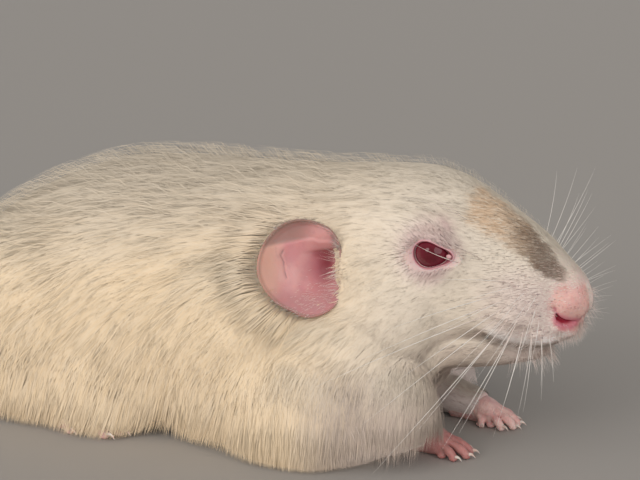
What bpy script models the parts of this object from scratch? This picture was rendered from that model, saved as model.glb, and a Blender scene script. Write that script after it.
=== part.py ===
"""A pet dumbo rat at rest, life size: big round ears set low on the head, the body low and round on
the floor, forearms laid forward, hind toes showing under the flank and the tail curled round the far side.

Metres, +Z up, floor at Z = 0. The nose points along +X and the left side is +Y. While the forms are made,
X = 0 is the eyes' station and Y = 0 the rat's middle plane. The last step moves everything so that the
origin is the middle of the bounding box on the floor.
"""

import math

import bmesh
import bpy
import numpy as np
from mathutils import Matrix, Vector
from mathutils.bvhtree import BVHTree

MM = 0.001
GAP = 0.3 * MM  # between nodes that touch
LEFT, RIGHT = 1.0, -1.0
SIDES = (("left", LEFT), ("right", RIGHT))

# ---------------------------------------------------------------- driving sizes, in millimetres

EYE_HEIGHT = 37.5
EYE_OUT = 10.5  # an eyeball's middle from the middle plane
EYE_RADIUS = 3.4

# The trunk from the nose to the rump, at the level of the coat: x from the eyes, height of the top line, of the
# widest place and of the underside, and half the width.
TRUNK = (
    (25.3, 31.8, 29.3, 26.9, 2.3),
    (24.2, 33.8, 29.3, 25.3, 3.4),
    (21.5, 36.4, 29.0, 21.6, 4.6),
    (17.5, 40.2, 28.4, 20.0, 6.7),
    (13.0, 43.3, 28.2, 20.2, 8.6),
    (8.5, 46.0, 28.5, 20.6, 10.4),
    (4.0, 48.7, 28.6, 18.6, 11.7),
    (0.0, 50.4, 28.6, 16.4, 13.2),
    (-6.0, 51.3, 28.2, 14.0, 16.2),
    (-12.0, 51.2, 27.4, 12.4, 18.2),
    (-20.0, 50.6, 26.0, 10.4, 20.0),
    (-30.0, 50.0, 24.4, 7.0, 23.6),
    (-42.0, 49.6, 22.6, 2.0, 28.6),
    (-55.0, 49.5, 21.0, -0.8, 32.2),
    (-70.0, 48.6, 20.4, -1.2, 34.2),
    (-83.0, 45.2, 19.8, -1.2, 34.0),
    (-95.0, 39.2, 18.6, -0.6, 31.4),
    (-105.0, 32.0, 17.0, 1.4, 25.6),
    (-112.0, 25.2, 16.2, 4.8, 18.0),
    (-116.0, 20.2, 15.4, 8.8, 10.0),
)
NOSE_TIP = (25.9, 0.0, 29.6)
RUMP_TIP = (-117.6, 0.0, 15.2)
BELLY_SQUARENESS = 2.9  # the superellipse power of the lower half of a section; 2 is an ellipse

NOSE_PAD = (22.4, 0.0, 29.2), (3.5, 4.5, 4.0)  # middle and radii of the bare bulb of the nose

# The lower jaw, tucked under the upper lip: x, top, underside, half the width.
JAW = (
    (17.9, 20.6, 17.7, 1.8),
    (16.6, 21.2, 16.8, 3.0),
    (14.6, 22.0, 16.0, 4.3),
    (12.0, 22.8, 15.1, 5.7),
    (9.0, 24.0, 14.0, 7.4),
    (4.0, 24.4, 13.1, 9.4),
    (-2.0, 24.6, 12.3, 11.6),
    (-8.0, 24.4, 11.8, 13.0),
    (-15.0, 24.0, 11.4, 13.4),
)
CHIN_TIP = (18.9, 0.0, 18.9)
MOUTH_AXIS = 11.0  # x of the upright axis that the lips bend round
MOUTH = ((0, 20.5), (20, 20.4), (45, 20.6), (65, 21.3), (85, 22.4), (105, 23.5))  # degrees from the front, and height

TAIL_LENGTH = 165.0
TAIL_ROOT_RADIUS, TAIL_TIP_RADIUS = 4.4, 1.1
TAIL_PIECES = 4
HEAD_CUT, NECK_CUT, TAIL_CUT = -30.5, -44.0, -117.0  # where planes part the trunk
COLOURS = {
    "coat": (0.86, 0.80, 0.68),
    "face": (0.88, 0.86, 0.82),
    "skin": (0.86, 0.58, 0.56),
    "ear": (0.78, 0.46, 0.44),
    "tail": (0.80, 0.62, 0.56),
    "eye": (0.18, 0.01, 0.03),
}


def through(stations, at):
    """A smooth curve through rows of (place, value...), read at each place: a cubic that never overshoots."""
    rows = np.array(sorted(map(tuple, stations)), float)
    place, value = rows[:, 0], rows[:, 1:]
    step = np.diff(place)[:, None]
    rise = np.diff(value, axis=0) / step
    slope = np.vstack([rise[:1], np.zeros_like(rise[1:]), rise[-1:]])
    before, after = rise[:-1], rise[1:]
    same = before * after > 0
    near, far = 2 * step[1:] + step[:-1], step[1:] + 2 * step[:-1]
    with np.errstate(divide="ignore", invalid="ignore"):
        inner = (near + far) / (near / before + far / after)
    slope[1:-1] = np.where(same, inner, 0.0)
    at = np.clip(np.atleast_1d(at), place[0], place[-1])
    i = np.clip(np.searchsorted(place, at) - 1, 0, len(step) - 1)
    h = step[i]
    t = (at - place[i])[:, None] / h
    return (
        value[i] * (1 + 2 * t) * (1 - t) ** 2
        + slope[i] * h * t * (1 - t) ** 2
        + value[i + 1] * t * t * (3 - 2 * t)
        + slope[i + 1] * h * t * t * (t - 1)
    )


# ---------------------------------------------------------------- making and changing meshes


def material(name, roughness=0.6):
    made = bpy.data.materials.new(name)
    made.use_nodes = True
    shader = made.node_tree.nodes["Principled BSDF"]
    shader.inputs["Base Color"].default_value = (*COLOURS[name], 1.0)
    shader.inputs["Roughness"].default_value = roughness
    return made


def add_mesh(name, points, faces, side=LEFT):
    """An object from points in millimetres. On the right side the points are mirrored and the faces turned."""
    points = np.asarray(points, float) * (MM, side * MM, MM)
    if side == RIGHT:
        faces = [tuple(reversed(face)) for face in faces]
    mesh = bpy.data.meshes.new(name)
    mesh.from_pydata(points.tolist(), [], faces)
    mesh.update()
    made = bpy.data.objects.new(name, mesh)
    bpy.context.scene.collection.objects.link(made)
    return made


def loft(name, rings, first, last, side=LEFT):
    """A closed skin over rings of equal count, with a pole at each end."""
    rings = np.asarray(rings, float)
    rows, around = rings.shape[:2]
    points = np.vstack([rings.reshape(-1, 3), [first], [last]])
    a = np.arange(rows - 1)[:, None] * around
    here, there = np.arange(around), (np.arange(around) + 1) % around
    faces = np.stack([a + here, a + there, a + around + there, a + around + here], -1).reshape(-1, 4).tolist()
    top, end = rows * around, (rows - 1) * around
    faces += [(top, int(j), int(i)) for i, j in zip(here, there)]
    faces += [(top + 1, int(end + i), int(end + j)) for i, j in zip(here, there)]
    made = add_mesh(name, points, faces, side)
    turn_out(made)
    return made


def turn_out(obj):
    """Makes the faces of a closed mesh point outwards."""
    work = bmesh.new()
    work.from_mesh(obj.data)
    bmesh.ops.recalc_face_normals(work, faces=work.faces)
    if work.calc_volume(signed=True) < 0:
        bmesh.ops.reverse_faces(work, faces=work.faces)
    work.to_mesh(obj.data)
    work.free()


def tube(name, path, radii, sides, side=LEFT, squash=1.0, blunt=0.6):
    """A round limb: a circle of changing radius carried along a path, with rounded ends. squash flattens it in Z."""
    path, radii = np.asarray(path, float), np.asarray(radii, float)
    ahead = np.gradient(path, axis=0)
    ahead /= np.linalg.norm(ahead, axis=1)[:, None]
    out = np.cross(ahead, (0.0, 0.0, 1.0))
    out /= np.linalg.norm(out, axis=1)[:, None]
    up = np.cross(out, ahead)
    angle = np.arange(sides) * 2 * math.pi / sides
    circle = np.cos(angle)[None, :, None] * out[:, None] + squash * np.sin(angle)[None, :, None] * up[:, None]
    rings = path[:, None] + radii[:, None, None] * circle
    return loft(
        name,
        rings,
        path[0] - ahead[0] * radii[0] * blunt,
        path[-1] + ahead[-1] * radii[-1] * blunt,
        side,
    )


def ellipsoid(name, centre, radii, side=LEFT, lean=0.0, yaw=0.0, segments=32):
    """An egg of these half sizes, leant nose down by lean and turned by yaw, in degrees."""
    turn = Matrix.Rotation(math.radians(yaw), 3, "Z") @ Matrix.Rotation(math.radians(lean), 3, "Y")
    work = bmesh.new()
    bmesh.ops.create_uvsphere(work, u_segments=segments, v_segments=segments * 5 // 8, radius=1.0)
    points = np.array([turn @ Vector(np.multiply(v.co, radii)) for v in work.verts]) + centre
    faces = [tuple(v.index for v in face.verts) for face in work.faces]
    work.free()
    return add_mesh(name, points, faces, side)


def join(name, pieces):
    """One object that holds these pieces' meshes, still overlapping."""
    work = bmesh.new()
    for piece in pieces:
        work.from_mesh(piece.data)
        bpy.data.objects.remove(piece)
    mesh = bpy.data.meshes.new(name)
    work.to_mesh(mesh)
    work.free()
    made = bpy.data.objects.new(name, mesh)
    bpy.context.scene.collection.objects.link(made)
    return made


def apply_modifiers(obj):
    """Bakes the modifiers into the mesh."""
    graph = bpy.context.evaluated_depsgraph_get()
    mesh = bpy.data.meshes.new_from_object(obj.evaluated_get(graph))
    obj.modifiers.clear()
    obj.data = mesh
    return obj


def remeshed(obj, voxel):
    """The outer surface of overlapping pieces as one even mesh."""
    modifier = obj.modifiers.new("Remesh", "REMESH")
    modifier.mode, modifier.voxel_size, modifier.adaptivity = "VOXEL", voxel * MM, 0.0
    return apply_modifiers(obj)


def smoothed(obj, rounds, share=None):
    """Evens out the surface. share(points) says how much of it each place takes, from 0 to 1."""
    modifier = obj.modifiers.new("Smooth", "SMOOTH")
    modifier.factor, modifier.iterations = 0.5, rounds
    if share is not None:
        group = obj.vertex_groups.new(name="share")
        for i, weight in enumerate(share(points_of(obj))):
            group.add([i], float(weight), "REPLACE")
        modifier.vertex_group = "share"
    return apply_modifiers(obj)


def decimated(obj, triangles):
    """Fewer, larger triangles where the form is plain."""
    obj.data.calc_loop_triangles()
    modifier = obj.modifiers.new("Decimate", "DECIMATE")
    modifier.ratio = min(1.0, triangles / len(obj.data.loop_triangles))
    modifier.use_collapse_triangulate = True
    return apply_modifiers(obj)


def points_of(obj):
    """The vertices in millimetres."""
    found = np.empty(len(obj.data.vertices) * 3, np.float32)
    obj.data.vertices.foreach_get("co", found)
    return found.reshape(-1, 3).astype(float) / MM


def move_points(obj, points):
    obj.data.vertices.foreach_set("co", (points * MM).astype(np.float32).ravel())
    obj.data.update()


def grown(obj, distance):
    """A copy whose surface is moved out along its normals."""
    made = obj.copy()
    made.data = obj.data.copy()
    bpy.context.scene.collection.objects.link(made)
    normals = np.empty(len(made.data.vertices) * 3, np.float32)
    made.data.vertices.foreach_get("normal", normals)
    move_points(made, points_of(made) + normals.reshape(-1, 3) * distance / MM)
    return made


def combine(obj, other, operation, solver="EXACT"):
    """A Boolean of obj with another object, which is used up."""
    modifier = obj.modifiers.new("Boolean", "BOOLEAN")
    modifier.operation, modifier.object, modifier.solver = operation, other, solver
    apply_modifiers(obj)
    bpy.data.objects.remove(other)
    return largest(obj)


def unite(obj, pieces):
    """Joins the pieces to obj in one Boolean union."""
    group = bpy.data.collections.new("joined")
    for piece in pieces:
        group.objects.link(piece)
    modifier = obj.modifiers.new("Union", "BOOLEAN")
    modifier.operation, modifier.operand_type = "UNION", "COLLECTION"
    modifier.collection, modifier.solver = group, "MANIFOLD"
    apply_modifiers(obj)
    for piece in pieces:
        bpy.data.objects.remove(piece)
    bpy.data.collections.remove(group)
    return largest(obj)


def largest(obj):
    """Keeps only the largest closed surface."""
    work = bmesh.new()
    work.from_mesh(obj.data)
    seen, best = set(), []
    for start in work.faces:
        if start in seen:
            continue
        island, edge = [start], [start]
        seen.add(start)
        while edge:
            for side in edge.pop().edges:
                for face in side.link_faces:
                    if face not in seen:
                        seen.add(face)
                        island.append(face)
                        edge.append(face)
        if len(island) > len(best):
            best = island
    keep = set(best)
    bmesh.ops.delete(work, geom=[f for f in work.faces if f not in keep], context="FACES")
    work.to_mesh(obj.data)
    work.free()
    return obj


def half_space(name, point, normal, reach=400.0):
    """A large box whose face lies in the plane, filling the side that the normal points to."""
    normal = Vector(normal).normalized()
    turn = normal.to_track_quat("Z", "Y").to_matrix().to_4x4()
    work = bmesh.new()
    bmesh.ops.create_cube(work, size=reach * MM)
    bmesh.ops.translate(work, verts=work.verts, vec=(0, 0, reach * MM / 2))
    bmesh.ops.transform(work, matrix=Matrix.Translation(Vector(point) * MM) @ turn, verts=work.verts)
    mesh = bpy.data.meshes.new(name)
    work.to_mesh(mesh)
    work.free()
    made = bpy.data.objects.new(name, mesh)
    bpy.context.scene.collection.objects.link(made)
    return made


def keep_side(obj, point, normal):
    """Cuts obj by a plane and keeps what the normal points to."""
    return combine(obj, half_space("cutter", point, normal), "INTERSECT")


def copy_of(obj, name):
    made = obj.copy()
    made.data = obj.data.copy()
    made.name = name
    bpy.context.scene.collection.objects.link(made)
    return made


def dab(points, centre, radius, push):
    """Moves the surface near a centre by push, fading out to nothing at about twice the radius."""
    away = ((points - centre) / radius) ** 2
    return points + np.exp(-away.sum(1))[:, None] * np.asarray(push, float)


def dab_both(points, centre, radius, push):
    """The same dab on both sides."""
    for _, side in SIDES:
        flip = (1.0, side, 1.0)
        points = dab(points, np.multiply(centre, flip), radius, np.multiply(push, flip))
    return points


# ---------------------------------------------------------------- the trunk, jaw and limbs


def section(x, top, middle, bottom, half, around=56):
    """A ring at x: half an ellipse above the widest place, and a squarer half below it."""
    angle = np.arange(around) * 2 * math.pi / around
    c, s = np.cos(angle), np.sin(angle)
    power = np.where(s < 0, 2 / BELLY_SQUARENESS, 1.0)
    y = half * np.sign(c) * np.abs(c) ** power
    z = middle + np.where(s > 0, top - middle, middle - bottom) * np.sign(s) * np.abs(s) ** power
    return np.stack([np.full(around, x), y, z], 1)


def trunk():
    ends = TRUNK[0][0], TRUNK[-1][0]
    turn = np.linspace(0, math.pi, 90)
    places = (ends[0] + ends[1]) / 2 + (ends[0] - ends[1]) / 2 * np.cos(turn)
    sizes = through(TRUNK, places)
    rings = [section(x, *row) for x, row in zip(places, sizes)]
    return loft("trunk", rings, NOSE_TIP, RUMP_TIP)


def jaw():
    places = np.linspace(JAW[0][0], JAW[-1][0], 24)
    rings = []
    for x, (top, bottom, half) in zip(places, through(JAW, places)):
        rings.append(section(x, top, (top + bottom) / 2, bottom, half, 32))
    back = (JAW[-1][0] - 2.0, 0.0, 18.0)
    return loft("jaw", rings, CHIN_TIP, back)


HAND_AHEAD = {"left": 2.4, "right": 0.0}  # the left hand lies a little further forward


def forearm_path(name):
    """The forelimb's own line: from the elbow, out at the side, along the floor to the wrist."""
    ahead = HAND_AHEAD[name]
    return np.array(
        [
            (-20.0, 21.0, 9.0),
            (-15.0, 16.5, 6.6),
            (-10.0 + 0.3 * ahead, 12.6, 4.9),
            (-5.0 + 0.7 * ahead, 10.9, 3.9),
            (0.0 + ahead, 10.0, 3.3),
        ]
    )


FOREARM_RADII = (8.0, 6.8, 4.8, 3.5, 3.0)


def limbs():
    """The masses of shoulder, forearm, chest and haunch that swell the trunk."""
    made = [
        ellipsoid("brisket", (-26.0, 0.0, 12.0), (20.0, 17.0, 11.0)),
        ellipsoid("throat", (-12.0, 0.0, 17.0), (16.0, 13.0, 9.5)),
    ]
    for name, side in SIDES:
        path, radii = forearm_path(name), np.array(FOREARM_RADII)
        t = np.linspace(0, 1, len(path))
        fine = np.linspace(0, 1, 22)
        smooth = through(np.column_stack([t, path, radii]), fine)
        made.append(tube("forearm", smooth[:, :3], smooth[:, 3], 24, side))
        made.append(ellipsoid("elbow", (-20.5, 18.5, 9.0), (17.0, 12.5, 13.0), side, lean=8, yaw=-8))
        made.append(ellipsoid("shoulder", (-36.0, 19.0, 19.0), (17.0, 11.5, 18.0), side, lean=12))
        made.append(ellipsoid("haunch", (-77.0, 21.0, 19.0), (27.0, 15.5, 20.5), side, lean=12, yaw=-3))
        made.append(ellipsoid("knee", (-62.0, 26.5, 12.5), (13.0, 8.0, 11.0), side, lean=20))
        made.append(ellipsoid("cheek", (-9.0, 10.5, 25.0), (11.5, 8.6, 11.5), side, yaw=-16))
    return made


def tail_path(count=120):
    """Points along the tail: out behind, down to the floor and round the left side in one long curl."""
    s = np.linspace(0, 1, count)
    # Heading in degrees from straight back, turning towards the left side and forward.
    heading = np.radians(through([(0, -4), (0.12, 2), (0.4, 78), (0.7, 146), (0.88, 166), (1, 150)], s)[:, 0])
    step = TAIL_LENGTH / (count - 1)
    x = RUMP_TIP[0] + 6.0 - np.concatenate([[0], np.cumsum(np.cos(heading[:-1]) * step)])
    y = np.concatenate([[0], np.cumsum(np.sin(heading[:-1]) * step)])
    lie = tail_radius(s) - 0.35  # it rests on the floor, on a narrow flat
    drop = np.clip(1 - s / 0.16, 0, 1) ** 2
    return np.stack([x, y, lie + (RUMP_TIP[2] - 1.0 - lie) * drop], 1), s


def tail_radius(s):
    return TAIL_ROOT_RADIUS + (TAIL_TIP_RADIUS - TAIL_ROOT_RADIUS) * np.asarray(s) ** 0.8


def tail_root():
    """The swelling where the tail leaves the rump."""
    path, s = tail_path()
    n = 22
    radii = tail_radius(s[:n]) + 2.6 * np.linspace(1, 0, n) ** 1.5
    return tube("tail_root", path[:n], radii, 20)


def body_core():
    """All the flesh forms fused and evened, at a fine mesh."""
    nose = ellipsoid("nose", *NOSE_PAD)
    core = remeshed(join("core", [trunk(), jaw(), nose, *limbs(), tail_root()]), 0.6)

    def share(points):
        """Hardly any on the muzzle and the wrists, little on the rest of the head, all of it on the body."""
        return np.clip((-4.0 - points[:, 0]) / 22.0, 0.04, 1.0)

    smoothed(core, 80, share)
    return core


def face_detail(points):
    """The modelling of the head that a loft doesn't give."""
    dabs = (
        # centre, radius, push
        ((14.0, 8.0, 26.2), (5.0, 3.4, 3.4), (0.2, 1.2, -0.1)),  # whisker pad
        ((18.8, 5.2, 24.0), (2.6, 2.4, 2.4), (0.3, 0.8, -0.2)),  # upper lip beside the nose
        ((19.6, 4.6, 30.2), (1.0, 2.0, 2.6), (0.0, -0.35, 0.0)),  # crease behind the nose
        ((6.0, 10.6, 35.4), (3.4, 3.0, 3.0), (0.0, -0.9, 0.0)),  # hollow before the eye
        ((-0.2, 11.6, 42.4), (4.6, 3.4, 2.6), (0.0, 0.6, 0.6)),  # brow
        ((-6.5, 15.0, 37.5), (5.0, 4.0, 5.0), (0.0, -0.9, 0.0)),  # temple
        ((2.0, 12.6, 29.5), (5.0, 4.0, 4.0), (0.0, 0.4, 0.0)),  # under the eye
        ((21.4, 4.6, 24.9), (1.3, 1.2, 0.9), (0.1, 0.35, -0.1)),  # lower wing of the nostril
    )
    for centre, radius, push in dabs:
        points = dab_both(points, centre, radius, push)
    points = dab(points, (24.4, 0.0, 24.6), (2.0, 0.8, 2.6), (-0.8, 0.0, 0.3))  # cleft under the nose
    points = dab(points, (25.6, 0.0, 29.5), (1.2, 0.6, 1.8), (-0.3, 0.0, 0.0))  # its furrow up the nose
    return points


def mouth_line(head):
    """The groove between the lips, from one corner round the front to the other, laid on the head's surface."""
    graph = bpy.context.evaluated_depsgraph_get()
    tree = BVHTree.FromObject(head, graph)

    def outermost(start, way):
        hit = tree.ray_cast(Vector(start) * MM + Vector(way) * 40 * MM, -Vector(way))[0]
        return np.array(hit) / MM

    share = np.linspace(-1, 1, 33)
    angle = MOUTH[-1][0] * share
    height = through(MOUTH, np.abs(angle))[:, 0]
    turn = np.radians(angle)
    path = [outermost((MOUTH_AXIS, 0, z), (math.cos(a), math.sin(a), 0)) for a, z in zip(turn, height)]
    return tube("mouth", path, 0.3 + 0.45 * np.sqrt(1 - share**2), 6)


def nostril(side):
    """A comma-shaped cut in the side of the nose, deeper in front."""
    path = np.array([(23.9, 2.7, 26.3), (22.9, 3.5, 26.3), (21.8, 4.2, 26.9), (20.8, 4.6, 28.0)])
    return tube("nostril", path, [0.75, 0.8, 0.55, 0.25], 7, side)


# ---------------------------------------------------------------- eyes, lids, ears


def eye_centre():
    return np.array([0.0, EYE_OUT, EYE_HEIGHT])


LID_RADIUS = 4.4
EYE_OPENING = (3.05, 2.5)  # half the opening's length and height
CANTHUS = 0.95  # how far its front corner reaches beyond the oval
EYE_TILT = -14.0  # degrees; the front corner lies lower


def eye_opening(count=36):
    """The almond outline of the opening in side view, as x and z from the eye's middle."""
    angle = np.arange(count) * 2 * math.pi / count
    c, s = np.cos(angle), np.sin(angle)
    ahead = EYE_OPENING[0] * c + CANTHUS * np.clip(c, 0, 1) ** 8
    up = EYE_OPENING[1] * s * (1 - 0.1 * np.clip(c, 0, 1))
    tilt = math.radians(EYE_TILT)
    return ahead * math.cos(tilt) - up * math.sin(tilt), ahead * math.sin(tilt) + up * math.cos(tilt)


def add_lids(head):
    """A mound round each eye, hollowed for the eyeball and opened in front, which leaves the two lids."""
    for _, side in SIDES:
        mound = ellipsoid("mound", eye_centre(), (LID_RADIUS + 0.3, LID_RADIUS, LID_RADIUS), side, segments=24)
        combine(head, mound, "UNION")
        ahead, up = eye_opening()
        count = len(ahead)
        points = [
            (x, EYE_OUT + out, EYE_HEIGHT + z) for out in (1.7, 9.0) for x, z in zip(ahead, up)
        ]
        faces = [tuple(range(count)), tuple(reversed(range(count, 2 * count)))]
        faces += [((i + 1) % count, i, count + i, count + (i + 1) % count) for i in range(count)]
        opening = add_mesh("opening", points, faces, side)
        turn_out(opening)
        combine(head, opening, "DIFFERENCE")
        hole = ellipsoid("hole", eye_centre(), [EYE_RADIUS + GAP / MM + 0.05] * 3, side, segments=20)
        combine(head, hole, "DIFFERENCE")
    return head


EAR_ROOT = np.array([-14.8, 15.6, 33.4])  # the bottom of the ear's bowl
EAR_RIM = np.array([-20.4, 22.4, 34.0])  # the middle of its rim
EAR_LOOK = np.array([0.41, 0.87, 0.22])  # the way the bowl faces
EAR_HALF = (7.3, 8.7)  # half its length front to back, and half its height
EAR_WALL = 0.8


def ear_surface(rows=7, around=24):
    """The inner face of the ear, a bowl from the ear canal to the rim: rings, and the pole at the bottom."""
    look = EAR_LOOK / np.linalg.norm(EAR_LOOK)
    back = np.cross(look, (0.0, 0.0, 1.0))
    back *= -np.sign(back[0]) / np.linalg.norm(back)
    up = np.cross(look, back)
    up *= np.sign(up[2])
    angle = np.arange(around) * 2 * math.pi / around
    c, s = np.cos(angle), np.sin(angle)
    # Fuller at the back, a slight corner at the top front, drawn in where the front edge meets the head.
    wide = EAR_HALF[0] * c * (1 + 0.05 * c)
    high = EAR_HALF[1] * s * (1 - 0.10 * np.clip(-c, 0, 1))
    rings = []
    for t in np.linspace(0.16, 1.0, rows):
        spread = t ** 0.62
        depth = t ** 1.25
        middle = EAR_ROOT + (EAR_RIM - EAR_ROOT) * depth
        lift = 1.5 * t ** 3 * (np.clip(c, 0, 1) ** 2)  # the back rim stands out a little
        ring = middle + (wide * spread)[:, None] * back + (high * spread)[:, None] * up
        ring = ring + (lift - 0.5 * t**2 * np.clip(-c, 0, 1))[:, None] * look
        rings.append(ring)
    return np.array(rings), EAR_ROOT - look * 0.6


def ear(name, side):
    """A thin bowl: the inner face, and the same face again outside it, joined at the rim."""
    rings, pole = ear_surface()
    rows, around = rings.shape[:2]
    points = np.vstack([rings.reshape(-1, 3), [pole]])
    a = np.arange(rows - 1)[:, None] * around
    here, there = np.arange(around), (np.arange(around) + 1) % around
    faces = np.stack([a + here, a + there, a + around + there, a + around + here], -1).reshape(-1, 4).tolist()
    faces += [(rows * around, int(j), int(i)) for i, j in zip(here, there)]
    made = add_mesh(name, points, faces, side)
    # Solidify sets the second face on the side that the normals point away from.
    outwards = np.array(made.data.polygons[0].normal) @ (EAR_LOOK * (1, side, 1))
    modifier = made.modifiers.new("Solidify", "SOLIDIFY")
    modifier.thickness = EAR_WALL * MM
    modifier.offset = -1.0 if outwards > 0 else 1.0
    apply_modifiers(made)
    turn_out(made)
    return made


def ear_plug(side):
    """The outside of the ear's bowl as a closed solid, a gap larger: the socket that the head leaves for it."""
    rings, pole = ear_surface()
    look = EAR_LOOK / np.linalg.norm(EAR_LOOK)
    along = np.gradient(rings, axis=0)
    around = np.roll(rings, -1, 1) - np.roll(rings, 1, 1)
    out = np.cross(along, around)
    out /= np.linalg.norm(out, axis=2)[..., None]
    out *= -np.sign((out @ look).mean())
    grow = EAR_WALL + GAP / MM + 0.15
    outer = rings + out * grow
    outer = np.concatenate([outer, outer[-1:] + look * 0.8])
    return loft("plug", outer, pole - look * grow, EAR_RIM + look * 1.6, side)


# ---------------------------------------------------------------- hands and feet

# Each finger or toe: where it leaves the palm (ahead, out), its length, its heading in degrees and its radius.
FINGERS = (
    ((3.6, -2.1), 3.6, -13.0, 0.80),
    ((4.3, -0.75), 4.5, -4.0, 0.85),
    ((4.3, 0.75), 4.4, 5.0, 0.85),
    ((3.4, 2.1), 3.6, 17.0, 0.80),
)
THUMB = ((2.0, -2.6), 1.4, -40.0, 0.65)
TOES = (
    ((22.0, -3.2), 5.4, -16.0, 1.0),
    ((24.6, -2.0), 8.0, -5.0, 1.05),
    ((25.4, 0.0), 8.6, 1.0, 1.1),
    ((24.8, 2.0), 8.2, 7.0, 1.05),
    ((20.6, 3.5), 5.2, 18.0, 0.95),
)
CLAW_FORE, CLAW_HIND = 1.2, 2.0
KNUCKLE_FORE, KNUCKLE_HIND = 2.0, 0.9  # how high the digits' roots are
HAND = ((0.0, 2.6, 2.9), (1.6, 2.9, 2.8), (3.2, 3.0, 2.6), (4.4, 2.8, 2.2))  # ahead, half width, half height
FOOT = ((0.0, 2.3, 2.9), (4.0, 2.9, 3.0), (12.0, 3.0, 2.7), (20.0, 4.0, 2.4), (25.0, 4.1, 2.0))


def placed(points, origin, heading):
    """Points from a hand's or foot's own frame (ahead, out, up), turned and set down at origin."""
    a = math.radians(heading)
    turn = np.array([[math.cos(a), -math.sin(a), 0.0], [math.sin(a), math.cos(a), 0.0], [0.0, 0.0, 1.0]])
    return np.asarray(points, float) @ turn.T + origin


def digit(start, length, heading, radius, knuckle, claw, sole, origin, turn, side):
    """A finger or toe laid on the floor with a knuckle's arch, and its claw."""
    t = np.linspace(0, 1, 5)
    a = math.radians(heading)
    along = t * length
    arch = 0.5 * radius * np.sin(math.pi * t) + knuckle * (1 - t) ** 1.3
    own = np.stack(
        [start[0] + along * math.cos(a), start[1] + along * math.sin(a), radius + sole + arch], 1
    )
    thick = radius * (1.0 + 0.12 * np.cos(2 * math.pi * t) - 0.14 * t)
    flesh = tube("digit", placed(own, origin, turn), thick, 6, side)
    tip = own[-1]
    c = np.linspace(0, 1, 3)
    reach = claw * c
    hook = np.stack(
        [
            tip[0] + (0.2 * radius + reach) * math.cos(a),
            tip[1] + (0.2 * radius + reach) * math.sin(a),
            tip[2] + 0.25 * radius - 0.55 * radius * c**2,
        ],
        1,
    )
    nail = tube("claw", placed(hook, origin, turn), 0.42 * (1 - 0.75 * c), 4, side)
    return [flesh, nail]


def pad_loft(name, sizes, sole, origin, turn, side):
    """A palm or sole: flattened ovals along its length."""
    places = np.linspace(sizes[0][0], sizes[-1][0], 7)
    rings = []
    angle = np.arange(14) * 2 * math.pi / 14
    for x, (half, high) in zip(places, through(sizes, places)):
        ring = np.stack([np.full(14, x), half * np.cos(angle), sole + high + high * np.sin(angle)], 1)
        rings.append(placed(ring, origin, turn))
    ends = [(sizes[0][0] - 1.2, 0.0, sole + sizes[0][2]), (sizes[-1][0] + 0.8, 0.0, sole + sizes[-1][2])]
    first, last = placed(ends, origin, turn)
    return loft(name, rings, first, last, side)


SOLE = -0.3  # hands and feet sink this far, so that the floor cuts a flat on them


def hand_place(name):
    return np.array([-1.4 + HAND_AHEAD[name], 10.0, 0.0]), -6.0


def hand(name, side):
    """Palm, four fingers, a stub of a thumb and the claws, as one solid."""
    origin, turn = hand_place(name)
    palm = pad_loft("palm", HAND, SOLE, origin, turn, side)
    pieces = []
    for finger in (*FINGERS, THUMB):
        pieces += digit(*finger, KNUCKLE_FORE, CLAW_FORE if finger is not THUMB else 0.5, SOLE, origin, turn, side)
    return unite(palm, pieces)


FOOT_PLACE, FOOT_TURN = np.array([-88.0, 24.5, 0.0]), 9.0


def foot(side):
    """Sole, five toes and the claws, as one solid."""
    sole = pad_loft("sole", FOOT, SOLE, FOOT_PLACE, FOOT_TURN, side)
    pieces = []
    for toe in TOES:
        pieces += digit(*toe, KNUCKLE_HIND, CLAW_HIND, SOLE, FOOT_PLACE, FOOT_TURN, side)
    return unite(sole, pieces)


# ---------------------------------------------------------------- whiskers


WHISKER_ROWS, WHISKER_COLUMNS = 3, 4
WHISKER_CARRIAGE = {"left": (92.0, 40.0), "right": (118.0, -14.0)}  # backward swing and lift of the rear ones
WHISKER_THICK = 0.36  # the root's radius


def whisker_shapes(name):
    """Root, direction, bend and length of each whisker of one pad, from the rear top one to the front low one."""
    draw = np.random.default_rng(7)
    swing, lift = WHISKER_CARRIAGE[name]
    for row in range(WHISKER_ROWS):
        for column in range(WHISKER_COLUMNS):
            root = np.array([10.5 + 2.6 * column + 0.6 * row, 9.6 - 0.8 * column, 29.6 - 2.3 * row - 0.4 * column])
            yaw = math.radians(swing - 18 * column + draw.uniform(-4, 4))
            pitch = math.radians(lift - 17 * row + draw.uniform(-3, 3))
            length = 38.0 - 5.0 * column - 3.0 * row + draw.uniform(-1.5, 1.5)
            ahead = np.array([math.cos(yaw) * math.cos(pitch), math.sin(yaw) * math.cos(pitch), math.sin(pitch)])
            yield root, ahead, np.array([-0.10, -0.16, -0.06]), length


def whisker(root, direction, bend, length, side):
    """A three-sided bristle that sweeps back and down, thins to its tip and stays off the floor."""
    s = np.linspace(0, 1, 6)[:, None]
    path = root - direction * 2.0 + (direction * s + bend * s**2) * length
    path[:, 2] = np.maximum(path[:, 2], 1.5 + 0.5 * s[:, 0])
    return tube("whisker", path, WHISKER_THICK * (1 - 0.7 * s[:, 0]), 3, side)


# ---------------------------------------------------------------- putting it together


def flattened(obj):
    """Cuts off what lies under the floor."""
    return keep_side(obj, (0, 0, 0), (0, 0, 1))


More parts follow.
